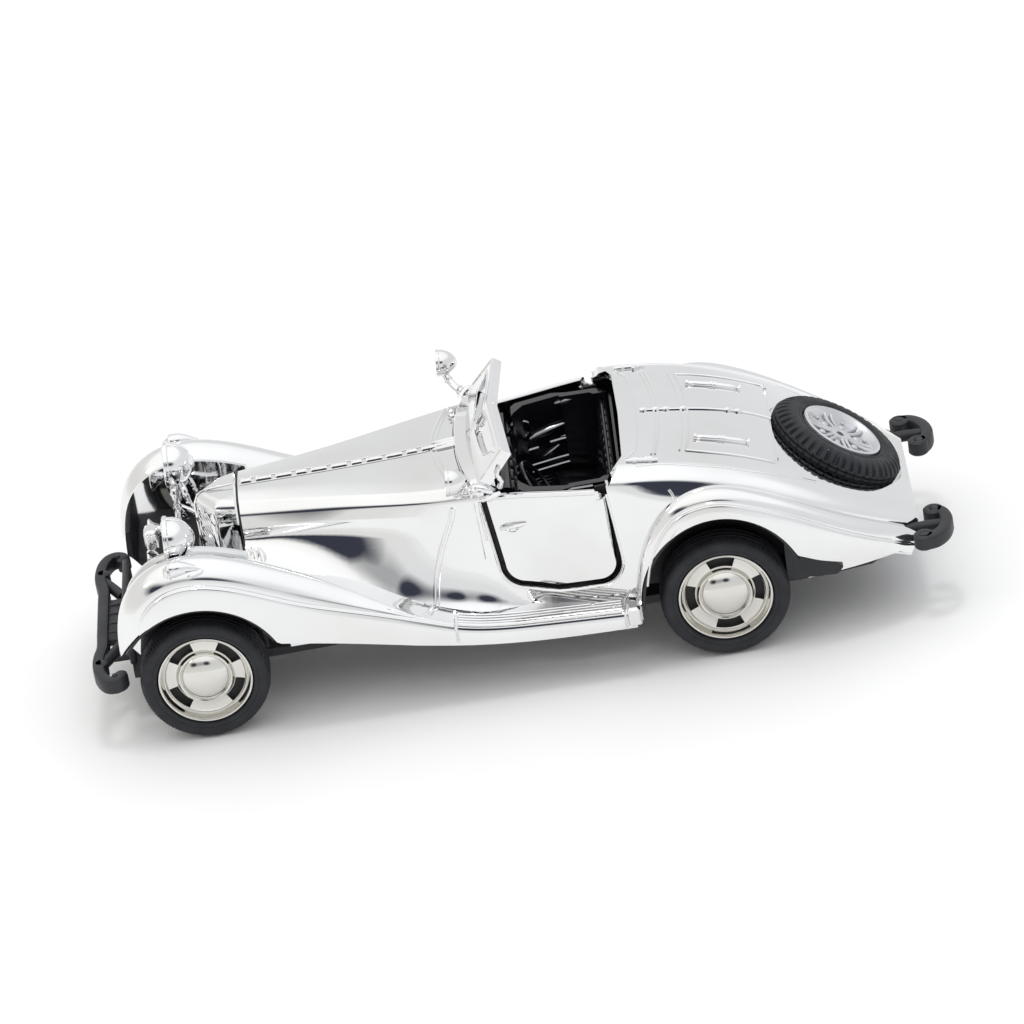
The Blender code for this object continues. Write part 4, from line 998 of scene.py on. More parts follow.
def mouldings():
    heap = Heap()
    for part in (bonnet_hinge, cowl_trim, opening_lip, running_boards, fender_beads, parking_lamps,
                 deck_trim, bonnet_joint):
        part(heap)
    heap.piece("cast_mouldings", CHROME_TRIM, "plated_diecast")


def door_trim():
    """Each door's handle and the rolled edge along its top."""
    top = [(s, BELT_Z - 0.42, -0.18) for s in spread(DOOR_FRONT + 0.2, HINGE_STATION - 0.6, 22)]
    bars = (([(50.4, 26.3, 0.3), (51.1, 26.45, 0.55), (52.6, 26.65, 0.6), (53.8, 26.85, 0.5),
              (54.5, 26.95, 0.3)], [0.28, 0.36, 0.33, 0.3, 0.18], 10),
            ([(51.1, 26.4, -0.3), (51.1, 26.4, 0.5)], 0.42, 10),
            ([(51.4, 25.9, 0.02), (51.8, 25.45, 0.05), (52.6, 25.4, 0.05), (53.2, 25.9, 0.02)],
             0.16, 6),
            (top, 0.42, 10))
    for name, side in SIDES.items():
        trim = Heap()
        for line, radius, sides in bars:
            trim.tube([(s, side * (side_y(s, z) + out), z) for s, z, out in line], radius, sides)
        trim.piece(f"door_trim_{name}", CHROME_TRIM, "plated_diecast", body=f"door_{name}")


# ---------------------------------------------------------------- wheels

def grooves(radius, depth, *heights):
    """Circumferential grooves of a tread, as parts of its (radius, height) profile."""
    return [(radius - cut, low + h) for low in heights
            for cut, h in ((0, 0.12), (depth, 0.05), (depth, -0.22), (0, -0.3))]


TYRE_WALL = [(7.75, 2.35), (7.85, 2.62), (8.05, 2.8), (8.3, 2.88), (8.5, 2.8), (8.62, 2.88),
             (9, 3), (9.35, 2.98), (9.7, 2.86), (9.95, 2.66), (10.14, 2.4), (10.26, 2.1),
             (10.36, 1.72)]
TYRE_SECTION = (TYRE_WALL + [(10.4, 1.5)] + grooves(10.4, 0.28, 1.2, 0.2, -0.9) + [(10.4, -1.5)]
                + [(r, -h) for r, h in TYRE_WALL[::-1]])
WHEEL_FACE = [(0, 3), (0.9, 2.96), (1.8, 2.82), (2.7, 2.54), (3.35, 2.2), (3.8, 1.82),
              (3.98, 1.6), (4.14, 1.68), (4.3, 1.66), (4.44, 1.4), (4.56, 1), (4.7, 0.86),
              (5, 0.8), (5.6, 0.8), (6.28, 0.88), (6.44, 1.02), (6.54, 1.2), (6.64, 1.24),
              (6.74, 1.2), (6.86, 1.4), (6.98, 1.86), (7.1, 2.24), (7.22, 2.44), (7.38, 2.5),
              (7.52, 2.44), (7.6, 2.26), (7.6, -2.3), (6.4, -2.3), (6.4, -0.1), (0, -0.1)]


def wheel(end, name, side, station, slots):
    middle, axis, body = (station, side * WHEEL_Y, TYRE_RADIUS), (0, side, 0), f"{end}_wheels"

    def tread(i, a):
        """Fine lugs on both shoulders of the tyre."""
        lug = int(a / (2 * math.pi) * 208 + 0.5) % 2
        return (-0.13 * lug if 9 <= min(i, len(TYRE_SECTION) - 1 - i) <= 13 else 0, 0)

    tyre = turned(f"{end}_tyre_{name}", TYRE_SECTION, middle, axis, RUBBER, 208, tread)
    fit(tyre, "tyre", f"{end}_{name}_tyre", body=body)
    cap = turned(f"wheel_{end}_{name}", WHEEL_FACE, middle, axis, NICKEL, 96, angle=24)
    cutters = []
    for a in slots:
        ring = arc((station, TYRE_RADIUS), (6.34, 6.34), a - 21.5, a + 21.5, 9)
        ring += arc((station, TYRE_RADIUS), (4.8, 4.8), a + 21.5, a - 21.5, 9)
        cutters.append(prism("slot", ring, *sorted((middle[1] - side * 0.6,
                                                    middle[1] + side * 2))))
    fit(combine(cap, cutters, angle=24), "chrome_plastic", f"{end}_{name}_hubcap", body=body)
    # The disc behind the hubcap's slots has the near-black painted shade colour.
    heap = Heap()
    heap.turn([(6.5, -0.15), (6.5, -0.5), (1.2, -0.5), (1.2, -0.15)], middle, axis, closed=True)
    heap.piece(f"wheel_backing_{end}_{name}", RECESS_SHADE, "black_plastic", body=body)


def wheels():
    tip = WHEEL_Y - 0.2
    axle_line = [(0, tip), (0.8, tip), (1, tip - 0.2), (1, 0.2 - tip), (0.8, -tip), (0, -tip)]
    for end, station, slots in (("front", 0, (40, 125, 215, 325)),
                                ("rear", WHEELBASE, (0, 90, 180, 270))):
        for name, side in SIDES.items():
            wheel(end, name, side, station, slots)
        axle = turned(f"axle_{end}", axle_line, (station, 0, TYRE_RADIUS), (0, 1, 0), STEEL, 32)
        fit(axle, "steel", f"{end}_axle", body=f"{end}_wheels")


def spare_wheel():
    axis = (math.sin(SPARE_TILT), 0, math.cos(SPARE_TILT))
    half, lugs = SPARE_WIDTH / 2, 46
    wall = [(r, half - d) for r, d in (
        (6.85, 0.75), (6.95, 0.35), (7.2, 0.12), (7.5, 0.02), (7.72, 0.12), (7.9, 0.02), (8.5, 0),
        (9.2, 0.05), (9.6, 0.12), (10, 0.3), (10.45, 0.62), (10.85, 1.05), (11.1, 1.45))]
    profile = wall + grooves(11.28, 0.4, 0.55, -0.25) + [(r, -h) for r, h in wall[::-1]]
    depths = {8: 0.12, 9: 0.3, 10: 0.55, 11: 0.6, 12: 0.5}

    def tread(i, a):
        """Deep lugs on the shoulders, and shallow ones half a step on between the grooves."""
        share = (a / (2 * math.pi) * lugs) % 1
        ring = min(i, len(profile) - 1 - i)
        if ring in depths:
            cut = 1 if share > 0.62 else 0
            return (-depths[ring] * cut, (-0.12 if i <= 12 else 0.12) * cut)
        return (-0.25 if ring > 12 and (share + 0.5) % 1 > 0.72 else 0, 0)

    tyre = turned("spare_wheel_tyre", profile, spare_place(half), axis, RUBBER, lugs * 6, tread)
    fit(tyre, "tyre", "spare_tyre")
    middle = spare_place(half - SPARE_RIM_DROP)
    dish = [(0, 0.9), (0.62, 0.9), (0.74, 0.96), (1.1, 1.1), (1.5, 1.1), (1.75, 1), (1.9, 0.5),
            (2.1, 0.32), (3.4, 0.3), (4.9, 0.36), (5.3, 0.5), (5.6, 0.95), (5.85, 1.35),
            (6.2, 1.72), (6.5, 1.8), (6.78, 1.66), (6.78, -1.9), (0, -1.9)]
    plate = turned("spare_wheel_rim", dish, middle, axis, SILVER, 72, angle=28)
    combine(plate, [rod_tool(spare_place(half + 0.4), spare_place(-2), 0.62, 24)], angle=28)
    fit(plate, "silver_plastic", "spare_rim")
    relief, middle, axis = Heap(), Vector(middle), Vector(axis)
    across = Vector((0, 1, 0))
    along = axis.cross(across)

    def raised(turn, line, radii, sides, shift=0, fan=0):
        """A rib over (radius, height) places, in one direction from the hub."""
        a = math.radians(turn)
        out, aside = (across * math.cos(b) + along * math.sin(b) for b in (a, a + math.pi / 2))
        relief.tube([middle + out * r + aside * (shift + fan * r) + axis * h for r, h in line],
                    radii, sides)

    for turn in range(18, 378, 60):
        for offset in (-0.55, 0.55):
            raised(turn, ((1.5, 0.72), (2.4, 0.62), (3.6, 0.55), (4.8, 0.62), (5.7, 0.9)),
                   [0.34, 0.3, 0.3, 0.32, 0.34], 8, offset * 0.4, offset * 0.14)
        raised(turn + 30, ((3.3, 0.1), (3.3, 0.62), (3.3, 0.82)), [0.62, 0.6, 0.3], 12)
        raised(turn + 30, ((4.9, 0.2), (4.9, 0.74), (4.9, 0.86)), [0.36, 0.34, 0.2], 10)
    relief.piece("spare_wheel_spokes", SILVER, "silver_plastic")


# ---------------------------------------------------------------- nose and lamps

def grille_point(side, along, into, z):
    """A place on one flank of the V-shaped grille."""
    run = Vector((2.9, 5.2)).normalized()
    depth = Vector((run.y, -run.x))
    at = Vector((1.75, 0)) + run * along + depth * into
    return (at.x, side * at.y, z)


def grille_slab(name, side, near, far, front, back, low_z, high_z, look=None):
    corners = ((near, front), (far, front), (far, back), (near, back))
    return loft(name, [[grille_point(side, a, d, z) for a, d in corners] for z in (low_z, high_z)],
                look)


def radiator_plan(front, grow):
    half = rounded([(front, 0), (front + 0.35, 0.75), (front + 2.75, 4.95 + grow),
                    (front + 3.1, 5.35 + grow), (8.6, 6.4 + grow)], [0.3, 0.3, 0.45], 4)
    return both_halves(half + [(8.6, 0)])


def nose():
    levels = ((9.2, 1.6, 0.6), (20, 1.75, 0.3), (28.4, 1.88, 0.02), (29.4, 1.92, -0.05),
              (30.3, 2.02, -0.18), (31.1, 2.16, -0.36), (31.7, 2.36, -0.6), (32.15, 2.75, -0.95),
              (32.42, 3.2, -1.3), (32.52, 3.6, -1.6))
    rings = [[(s, y, z) for s, y in radiator_plan(front, grow)] for z, front, grow in levels]
    shell = loft("radiator", rings, CHROME, 30)
    combine(shell, [grille_slab("seat", side, 0.55, 5.2, -1, 1.2, 14.6, 30.6) for side in (-1, 1)],
            angle=30)
    fit(shell, "chrome_plastic", "radiator_shell")
    for name, side in SIDES.items():
        # The grille's back plate takes the darker plating: painted shade behind the mesh.
        fit(grille_slab(f"grille_back_{name}", side, 0.75, 5, 0.62, 0.95, 14.9, 30.4, SHADE_PAINTED_CHROME),
            "chrome_plastic", f"grille_{name}")
        mesh = Heap()
        for start in np.arange(-4.6, 15.6, 1.15):
            for slope in (1, -1):
                line = []
                for along in spread(0.75, 5, 8):
                    z = 15 + start + (along - 0.75) * 1.12
                    if slope < 0:
                        z = 30.3 - start - (along - 0.75) * 1.12
                    if 15 <= z <= 30.3:
                        line.append(grille_point(side, along, 0.46 + 0.05 * slope, z))
                if len(line) > 2:
                    mesh.tube(line, 0.17, 6)
        edge = [grille_point(side, along, 0.3, z) for along, z in
                ((0.7, 14.9), (0.7, 30.4), (5.05, 30.4), (5.05, 14.9))]
        for a, b in zip(edge, edge[1:]):
            mesh.tube([a, b], 0.2)
        for z in spread(16.5, 29, 6):
            mesh.tube([grille_point(side, d, 0.34, z) for d in (0.8, 2.9, 5)], 0.11, 6)
        mesh.piece(f"grille_mesh_{name}", CHROME_TRIM, "chrome_plastic")
    trim = Heap()
    trim.tube([(2.1, 0, 15), (2, 0, 22), (1.98, 0, 29), (2.1, 0, 30.6), (2.7, 0, 32),
               (4.2, 0, 32.75), (8.4, 0, 33)], [0.3, 0.34, 0.36, 0.36, 0.32, 0.24, 0.16], 10)
    trim.both([(2.3, 0.4, 30.9), (3.7, 2.9, 30.95), (5.1, 5.1, 30.6), (5.3, 5.4, 29.4),
               (5.3, 5.5, 24)], 0.2)
    trim.piece("radiator_trim", CHROME_TRIM, "chrome_plastic")


def lamp_bar():
    bar = Heap()
    bar.tube([(-1.6, y, 26.8 - 0.5 * (abs(y) < 6)) for y in spread(-13.6, 13.6, 25)], 0.5, 12)
    bar.both([(-1.5, 13, 26.2), (-1.4, 13, 27.2), (-1.3, 13, 28.4)], [1.5, 1.05, 1.35], 16)
    for shift in (-0.9, 0.9):
        hoop = [(-1.3 + shift * 0.6, 11.9, 28.6), (-1.2 + shift, 10.9, 27.6),
                (-0.9 + shift, 10.4, 25.8), (-0.3 + shift, 10.6, 23.8), (0.2 + shift, 11.6, 22.4)]
        bar.both(curve_through(hoop, 16), 0.5, 10)
    bar.both([(-1.6, 13, 26.8), (-0.6, 15.2, 26.5), (0.4, 17, 27.2)], [0.7, 0.6, 0.5], 10)
    bar.both([(-1.6, 8.2, 26.6), (0.6, 8, 25.2), (2.6, 7, 24), (4.4, 6.2, 23.4)], 0.38)
    for y in (6.2, 7.4, 10.4):
        bar.both([(-1.6, y - 0.3, 26.7), (-1.6, y + 0.3, 26.7)], 0.72, 12)
    # A plain cap between the lamps in place of any badge
    bar.block((-5.9, -11.9, 29.5), (-4, -9, 33), 0.35)
    for k in range(3):
        bar.block((-6.1, -11.5 + k * 0.85, 30.1), (-5.8, -11.1 + k * 0.85, 32.4), 0.08)
        bar.block((-5.6 + k * 0.55, -12.1, 30.2), (-5.3 + k * 0.55, -11.8, 32.3), 0.05)
    bar.tube([(-5.8, -10.4, 28.9), (-4.4, -10.6, 27.3), (-1.7, -11.4, 26.7)], [0.6, 0.5, 0.45], 10)
    bar.piece("front_lamp_bar", CHROME_TRIM, "chrome_plastic", "lamp_bar")


def head_lamp(name, side):
    shell = [(0.3, 0.2), (3, 0.05), (3.3, 0.3), (3.62, 0.42), (3.84, 0.3), (3.92, 0),
             (3.86, -0.3), (3.66, -0.48), (3.62, -0.8), (3.58, -1.4), (3.36, -2.1), (2.95, -2.8),
             (2.42, -3.4), (1.8, -3.9), (1.15, -4.3), (0.6, -4.5), (0.2, -4.55)]
    lens = [(0.1, 0.42), (1.2, 0.40), (2.2, 0.34), (3, 0.24), (3.15, 0.1), (0.1, 0.1)]
    ridge = [(-2.6, 3.63), (-1.8, 3.58), (-0.8, 3.33), (0.3, 2.83), (1.2, 1.98)]
    y, z, lamp = side * 13, 31.6, Heap()
    for profile in (shell, lens):
        lamp.turn(profile, (-2.5, y, z), (-1, 0, 0.06))
    for k in range(-4, 5):
        reach = math.sqrt(max(0.1, 2.9 ** 2 - (k * 0.62) ** 2))
        lamp.tube([(-2.9 + 0.01 * k * k, y + k * 0.62, z + h)
                   for h in spread(-reach, reach, 5)], 0.1, 6)
    lamp.tube([(s, y, z + h) for s, h in ridge], [0.26, 0.28, 0.26, 0.22, 0.12])
    lamp.tube([(-1.3, y, z - h) for h in (3, 3.6, 4.2)], [1.4, 1, 1.15], 14)
    lamp.piece(f"head_lamp_{name}", CHROME, "chrome_plastic", f"headlamp_{name}")


def trumpet_horn(name, side):
    bell = [(0.1, -0.5), (0.9, -0.4), (1.6, -0.05), (2, 0.12), (2.15, 0), (2.1, -0.25),
            (1.7, -0.6), (1.2, -1.2), (0.85, -2), (0.7, -2.8), (0.66, -4), (0.64, -5.6),
            (0.3, -6)]
    y, horn = side * 5.4, Heap()
    horn.turn(bell, (-6.6, y, 24), (-1, 0, 0), 40)
    for s in (-4.7, -3.9, -3.1):
        horn.tube([(s - 0.15, y, 24), (s + 0.15, y, 24)], 0.95, 20)
    horn.tube([(-2.4, y, 24), (-1.6, side * 5.6, 25), (-1.6, side * 5.8, 26.2)], 0.42)
    horn.piece(f"trumpet_horn_{name}", CHROME_TRIM, "chrome_plastic", f"horn_{name}")


def lamps_and_horns():
    for name, side in SIDES.items():
        head_lamp(name, side)
        trumpet_horn(name, side)


# ---------------------------------------------------------------- windscreen and spotlights

def screen_point(side, u, v, out=0):
    """A place on one half of the raked V windscreen: u from the middle outwards, v upwards."""
    y = 16.7 * u
    foot = (48 + 1.1 * u, y * 1.03, 33.7 + 0.1 * u)
    head = (52.4 + 1.4 * u, y * 0.985, 39.62 - 0.6 * u)
    at = [f + (h - f) * v for f, h in zip(foot, head)]
    return (at[0] - 0.82 * out, side * at[1], at[2] + 0.57 * out)


def screen_ring(side, u):
    """A cut through the windscreen and the saddle that it stands on."""
    front, foot = 44.9 + 2.6 * u ** 2.4, 17.2 * u
    rest = max(BELT_Z + 1.1, max(top_z(s, foot) for s in spread(front, 49.5, 6)) + 0.25)
    low = rest + 0.06
    base = screen_point(1, u, 0.12, SCREEN_FRONT)
    ring = [(front + s, side * foot, low + h) for s, h in
            ((0, 0), (0.02, 0.3), (0.2, 0.45), (1.2, 0.5), (2, 0.62))]
    ring += [(base[0] - 0.5, side * foot, base[2] - 0.35), (base[0], side * base[1], base[2])]
    ring += [screen_point(side, u, v, SCREEN_FRONT) for v in (0.3, 0.6, 0.985)]
    ring += [screen_point(side, u, 1, SCREEN_FRONT - 0.12), screen_point(side, u, 1, -0.3)]
    ring += [screen_point(side, u, v, SCREEN_BACK) for v in (0.985, 0.6, 0.3, 0.12)]
    return ring + [(49.9 + 0.9 * u, side * foot, low)]


def windscreen():
    rings = [screen_ring(1 if k >= 0 else -1, abs(k)) for k in spread(-1, 1, 73)]
    screen = loft("windscreen_frame", rings, CHROME, 30)
    pane = [(0.05, 0.80), (0.045, 0.48), (0.055, 0.42), (0.09, 0.355), (0.15, 0.335),
            (0.36, 0.345), (0.60, 0.385), (0.68, 0.42), (0.73, 0.52), (0.78, 0.66), (0.83, 0.80)]
    depths = ((SCREEN_FRONT - 0.6, SCREEN_FRONT + 2), (-1.2, -0.2))
    tools = [loft("pane_tool", [[screen_point(side, u, v, out) for u, v in pane] for out in span])
             for side in (-1, 1) for span in depths]
    fit(combine(screen, tools, angle=30), "chrome_plastic", "windscreen")
    beads = Heap()
    for out in (SCREEN_FRONT, SCREEN_BACK):
        edge = curve_through([screen_point(1, u, v, out) for u, v in pane], 60, True)
        beads.both(edge + edge[:2], 0.14, 6)
    rim = [(0.985, v) for v in spread(0.16, 0.97, 10)] + [(u, 0.975) for u in spread(0.97, 0, 10)]
    beads.both([screen_point(1, u, v, SCREEN_FRONT - 0.05) for u, v in rim], 0.24)
    # Curved brackets that brace the frame's outer feet
    beads.both([(51.4, 17, 33.6), (51.9, 17.4, 34.8), (51.3, 17.5, 36), (51.8, 17.3, 37.2)],
               [0.5, 0.42, 0.4, 0.3], 10)
    beads.both([(48, 17.9, 32.4), (49.6, 18.3, 32.6), (51.4, 17.9, 33)], [0.4, 0.6, 0.4], 10)
    groove = [(44.9 + 2.6 * u ** 2.4 - 0.25, 17.2 * u) for u in spread(0.02, 0.98, 24)]
    beads.both(on_top(groove, 0.05), 0.14, 6)
    post = [(46.9, 0, 34.1), (47.7, 0, 34.6), (48.6, 0, 35.6), (50, 0, 37.4), (51.6, 0, 39.3),
            (52.2, 0, 39.8)]
    beads.tube(post, [0.7, 0.82, 0.8, 0.74, 0.7, 0.4], 12)
    beads.both([(s - 0.3, 0.72, z + 0.3) for s, _, z in post[1:5]], 0.16, 6)
    beads.piece("windscreen_beads", CHROME_TRIM, "chrome_plastic")


def spotlights():
    bowl = [(0.1, 0.36), (1.05, 0.32), (1.65, 0.24), (1.86, 0.08), (2.04, 0.26), (2.22, 0.26),
            (2.3, 0.05), (2.26, -0.26), (2.18, -0.36), (2.18, -0.75), (2.1, -1.2), (1.9, -1.75),
            (1.6, -2.25), (1.2, -2.7), (0.8, -3.05), (0.4, -3.25), (0.1, -3.3)]
    for name, side in SIDES.items():
        lamp = Heap()
        lamp.turn(bowl, (43.5, side * 21.2, 38.05), (-1, 0, 0.1))
        stalk, saddle = (
            curve_through([(s, side * y, z) for s, y, z in line], count) for line, count in (
                (((44.3, 21, 36.6), (44.5, 20.7, 35.9), (45.1, 19.9, 34.9), (46.1, 18.7, 34.1),
                  (47.4, 17.7, 33.7), (48.8, 17.2, 33.4)), 20),
                (((46.4, 16.4, 33.4), (47.2, 17.2, 34.2), (48.4, 17.7, 34.3), (49.6, 17.8, 33.6),
                  (50.2, 17.4, 32.6)), 14)))
        lamp.tube(stalk, [0.5, 0.72] + [0.66] * 14 + [0.8, 0.95, 1, 0.8], 14)
        for a, b in (stalk[k:k + 2] for k in (2, 6, 12)):
            lamp.tube([a, (a + b) / 2, b], [0.7, 0.92, 0.7], 14)
        lamp.tube(saddle, 0.6, 12)
        lamp.piece(f"spot_lamp_{name}", CHROME, "chrome_plastic", f"spotlight_{name}")


# ---------------------------------------------------------------- black base, bumpers and screws

def ribbon(name, line, width, low_z, high_z):
    """A bar on edge with rounded corners that follows (station, sideways) points in plan."""
    pts, corner = curve_through(line, len(line) * 6), 0.45
    rings = []
    for i, (s, y) in enumerate(pts):
        ns, ny = beside(pts, i)
        taper = min(1, 0.55 + 0.225 * min(i, len(pts) - 1 - i))
        half, tall = width / 2 * taper, (high_z - low_z) / 2 * (0.8 + 0.2 * taper)
        ring = []
        for ca, cb, start in ((1, 1, 0), (-1, 1, 90), (-1, -1, 180), (1, -1, 270)):
            for k, h in arc((ca * (half - corner), cb * (tall - corner)), (corner, corner),
                            start, start + 90, 3):
                ring.append((s + k * ns, y + k * ny, (low_z + high_z) / 2 + h))
        rings.append(ring)
    return loft(name, rings, BLACK, 40)


def front_bumper():
    low, top = 10.2, 12.8
    half = [(-16.5, 0), (-16.5, 4.8), (-16.5, 9.5), (-17, 12.6), (-17.1, 15.4), (-16.75, 18.2),
            (-15.8, 20.4), (-14.6, 21.1), (-13.5, 20.5), (-13, 19.2)]
    bar = ribbon("bumper_bar", [(s, -y) for s, y in half[:0:-1]] + half, 1.9, low, top)
    fit(bar, "black_plastic", "front_bumper")
    extra, middle = Heap(), (low + top) / 2
    extra.both([(-16.7, 15.2, z) for z in (low, low + 0.2, low + 1.2, top - 0.2, top)],
               [0.8, 1.15, 1.2, 1.15, 0.8], 14)
    arm = curve_through([(-16.9, 14.6, middle), (-15, 11.2, middle), (-13.4, 8, middle)], 12)
    extra.both(arm, 0.95, 10)
    extra.both([(-13.4, 19.4, middle + h) for h in (-1.2, -1, 1, 1.2)], [0.7, 1, 1, 0.7], 14)
    extra.both([(-14.3, 20.2, top - 0.05), (-14.3, 20.2, top + 0.16)], [0.5, 0.4], 12)
    extra.block((-16.2, -6.7, low + 0.4), (-12.9, 6.7, top - 0.6), 0.35)
    for y in (-4.6, -1.6, 1.6, 4.6):
        extra.block((-16.4, y - 0.25, low + 0.5), (-12.8, y + 0.25, top - 0.4), 0.1)
    extra.piece("bumper_brackets", BLACK, "black_plastic", angle=40)


def rear_bumperettes():
    low, top = 12.5, 15
    line = [(118.6, 11.7), (119.8, 12.3), (120.55, 13.9), (120.65, 16.2), (119.85, 18.6),
            (118.3, 20.3), (116.6, 20.5), (116, 19.8)]
    lobe = [(0.35, top - 0.5), (0.6, top - 0.15), (0.85, top), (1.35, top), (1.66, top - 0.25),
            (1.7, low + 0.3), (1.4, low), (0.35, low)]
    for name, side in SIDES.items():
        guard = ribbon(f"overrider_{name}", [(s, side * y) for s, y in line], 2, low, top)
        fit(guard, "black_plastic", f"rear_bumperette_{name}")
        lobes = Heap()
        for s, y in ((118.9, 12.1), (116.6, 20)):
            lobes.turn(lobe, (s, side * y, 0), UP, 28)
        lobes.tube([(s, side * 15.9, 13.9) for s in (120.4, 118, 115, 112)],
                   [0.85, 0.95, 0.95, 0.95], 12)
        inner, outer = sorted((side * 16.4, side * 17.9))
        lobes.block((112.9, inner, 11.5), (114.9, outer, 12.4), 0.25)
        lobes.tube([(113.2, side * 17.3, 12.2), (113.2, side * 17.3, 12.9)], [0.6, 0.4], 12)
        lobes.piece(f"overrider_lobes_{name}", BLACK, "black_plastic", angle=40)


def base_plate():
    line = [(-15.4, 6), (-12.5, 6), (-12, 12.4), (13.5, 12.4), (30, 11.6), (52, 13.4),
            (68, 14.9), (100, 14.9), (108, 13.4), (112.4, 9.9)]
    base = slab("base_plate", line + [(s, -y) for s, y in line[::-1]], 7.4, 8.8, BLACK)
    tools = [block_tool((78.3, -8.3, 0), (99.1, 8.3, 12))]
    tools += [rod_tool((s, 0, 0), (s, 0, 12), 2.2, 32) for s in SCREWS.values()]
    tools += [block_tool((s - 4.6, -8.6, 6), (s + 4.6, 8.6, 7.75)) for s in (34, 46, 58)]
    fit(combine(base, tools, angle=30), "black_plastic", "chassis_base")


def base_ribs():
    extra = Heap()
    boss = [(2.7, 7.5), (2.7, 7.3), (2.2, 7.3), (2.2, 8.8), (1.2, 8.8), (1.2, 9.3), (2.7, 9.3)]
    for s in SCREWS.values():
        extra.turn(boss, (s, 0, 0), UP, 32, closed=True)
    rail = ((-11, 8), (14, 8), (30, 9.4), (52, 10.6), (66, 11.6), (76, 11.8))
    extra.both(curve_through([(s, y, 7.4) for s, y in rail], 40), 0.5)
    extra.both([(s, 3.4, 7.45) for s in spread(26, 70, 12)], 0.35)
    for s in (-6, 6, 28.4, 40, 52, 64.4):
        extra.tube([(s, y, 7.42) for y in spread(-9, 9, 5)], 0.3)
    extra.block((-12.5, -10, 8.4), (-11.4, 10, 17.5), 0.3)
    extra.block((111, -8.5, 8.4), (112.2, 8.5, 11.4), 0.3)
    # Wedges of the base that show behind the rear wheels
    wedge = ((94.2, 11.3), (102.2, 10.9), (103.2, 12), (101, 14.6), (97.4, 17), (94.4, 18.4))
    for side in (-1, 1):
        extra.loft([[(s, side * y, z) for s, z in wedge] for y in (17.2, 17.4, 21.2, 21.4)])
    extra.piece("base_ribs", BLACK, "black_plastic", angle=36)


def arch_liners():
    """Inner wheel arches: a curved liner over each wheel, and the flat wall inside it."""
    liners = Heap()
    for middle, radii, first, last in ((0, (13.8, 13.8), 27, 146),
                                       (WHEELBASE, (13.3, 15.4), 20, 176)):
        outer, inner = (arc((middle, TYRE_RADIUS), (radii[0] - thick, radii[1] - thick),
                            first, last, 49) for thick in (0, 0.4))
        for side in (-1, 1):
            liners.loft([[(so, side * 15.3, zo), (so, side * 24.1, zo), (si, side * 24.1, zi),
                          (si, side * 15.3, zi)] for (so, zo), (si, zi) in zip(outer, inner)])
            wall = []
            for s, z in outer:
                hub = (middle + (s - middle) * 0.2, max(9.4, z * 0.2 + TYRE_RADIUS * 0.8))
                wall.append([(at[0], side * y, at[1]) for at, y in
                             (((s, z), 15.25), (hub, 15.25), (hub, 15.55), ((s, z), 15.55))])
            liners.loft(wall)
    liners.piece("wheel_arch_liners", BLACK, "black_plastic", angle=30)


def screws():
    profile = [(0, 7), (0.6, 6.8), (0.9, 6.4), (0.9, 0.2), (1.9, 0.2), (2, -0.1), (1.7, -0.5),
               (1, -0.75), (0, -0.85)]
    for name, s in SCREWS.items():
        screw = turned(f"base_screw_{name}", profile, (s, 0, 7.9), UP, STEEL, 36)
        drive = [block_tool((s - a, -b, 6.6), (s + a, b, 7.45))
                 for a, b in ((1.3, 0.22), (0.22, 1.3))]
        fit(combine(screw, drive, angle=30), "steel", f"screw_{name}")


# ---------------------------------------------------------------- cabin

def tub_outline(inset):
    half = [(52.6, 0), (52.8, 12), (53.4, EDGE_Y(53.4) - 2.6)]
    half += [(s, side_y(s, BELT_Z - 2) - 2.2) for s in (55, 58, 61)]
    half += [(63.5, side_y(63.5, 30) - 3.4), (68.4, 16.4), (69.8, 15), (70.7, 13.6), (70.7, 0)]
    return both_halves([(s + (inset if s < 61.5 else -inset), max(0, y - inset)) for s, y in half])


def cabin_tub():
    tub = slab("cabin_tub", tub_outline(0), 11.6, 31.4, GLOSS)
    combine(tub, [slab("tub_hollow", tub_outline(1.2), 12.8, 40),
                  block_tool((58.7, -14.5, 12.3), (70.3, 14.5, 40)),
                  block_tool((50, -20, 26.2), (54.2, 20, 40))], angle=30)
    fit(tub, "gloss_interior", "interior_tub")


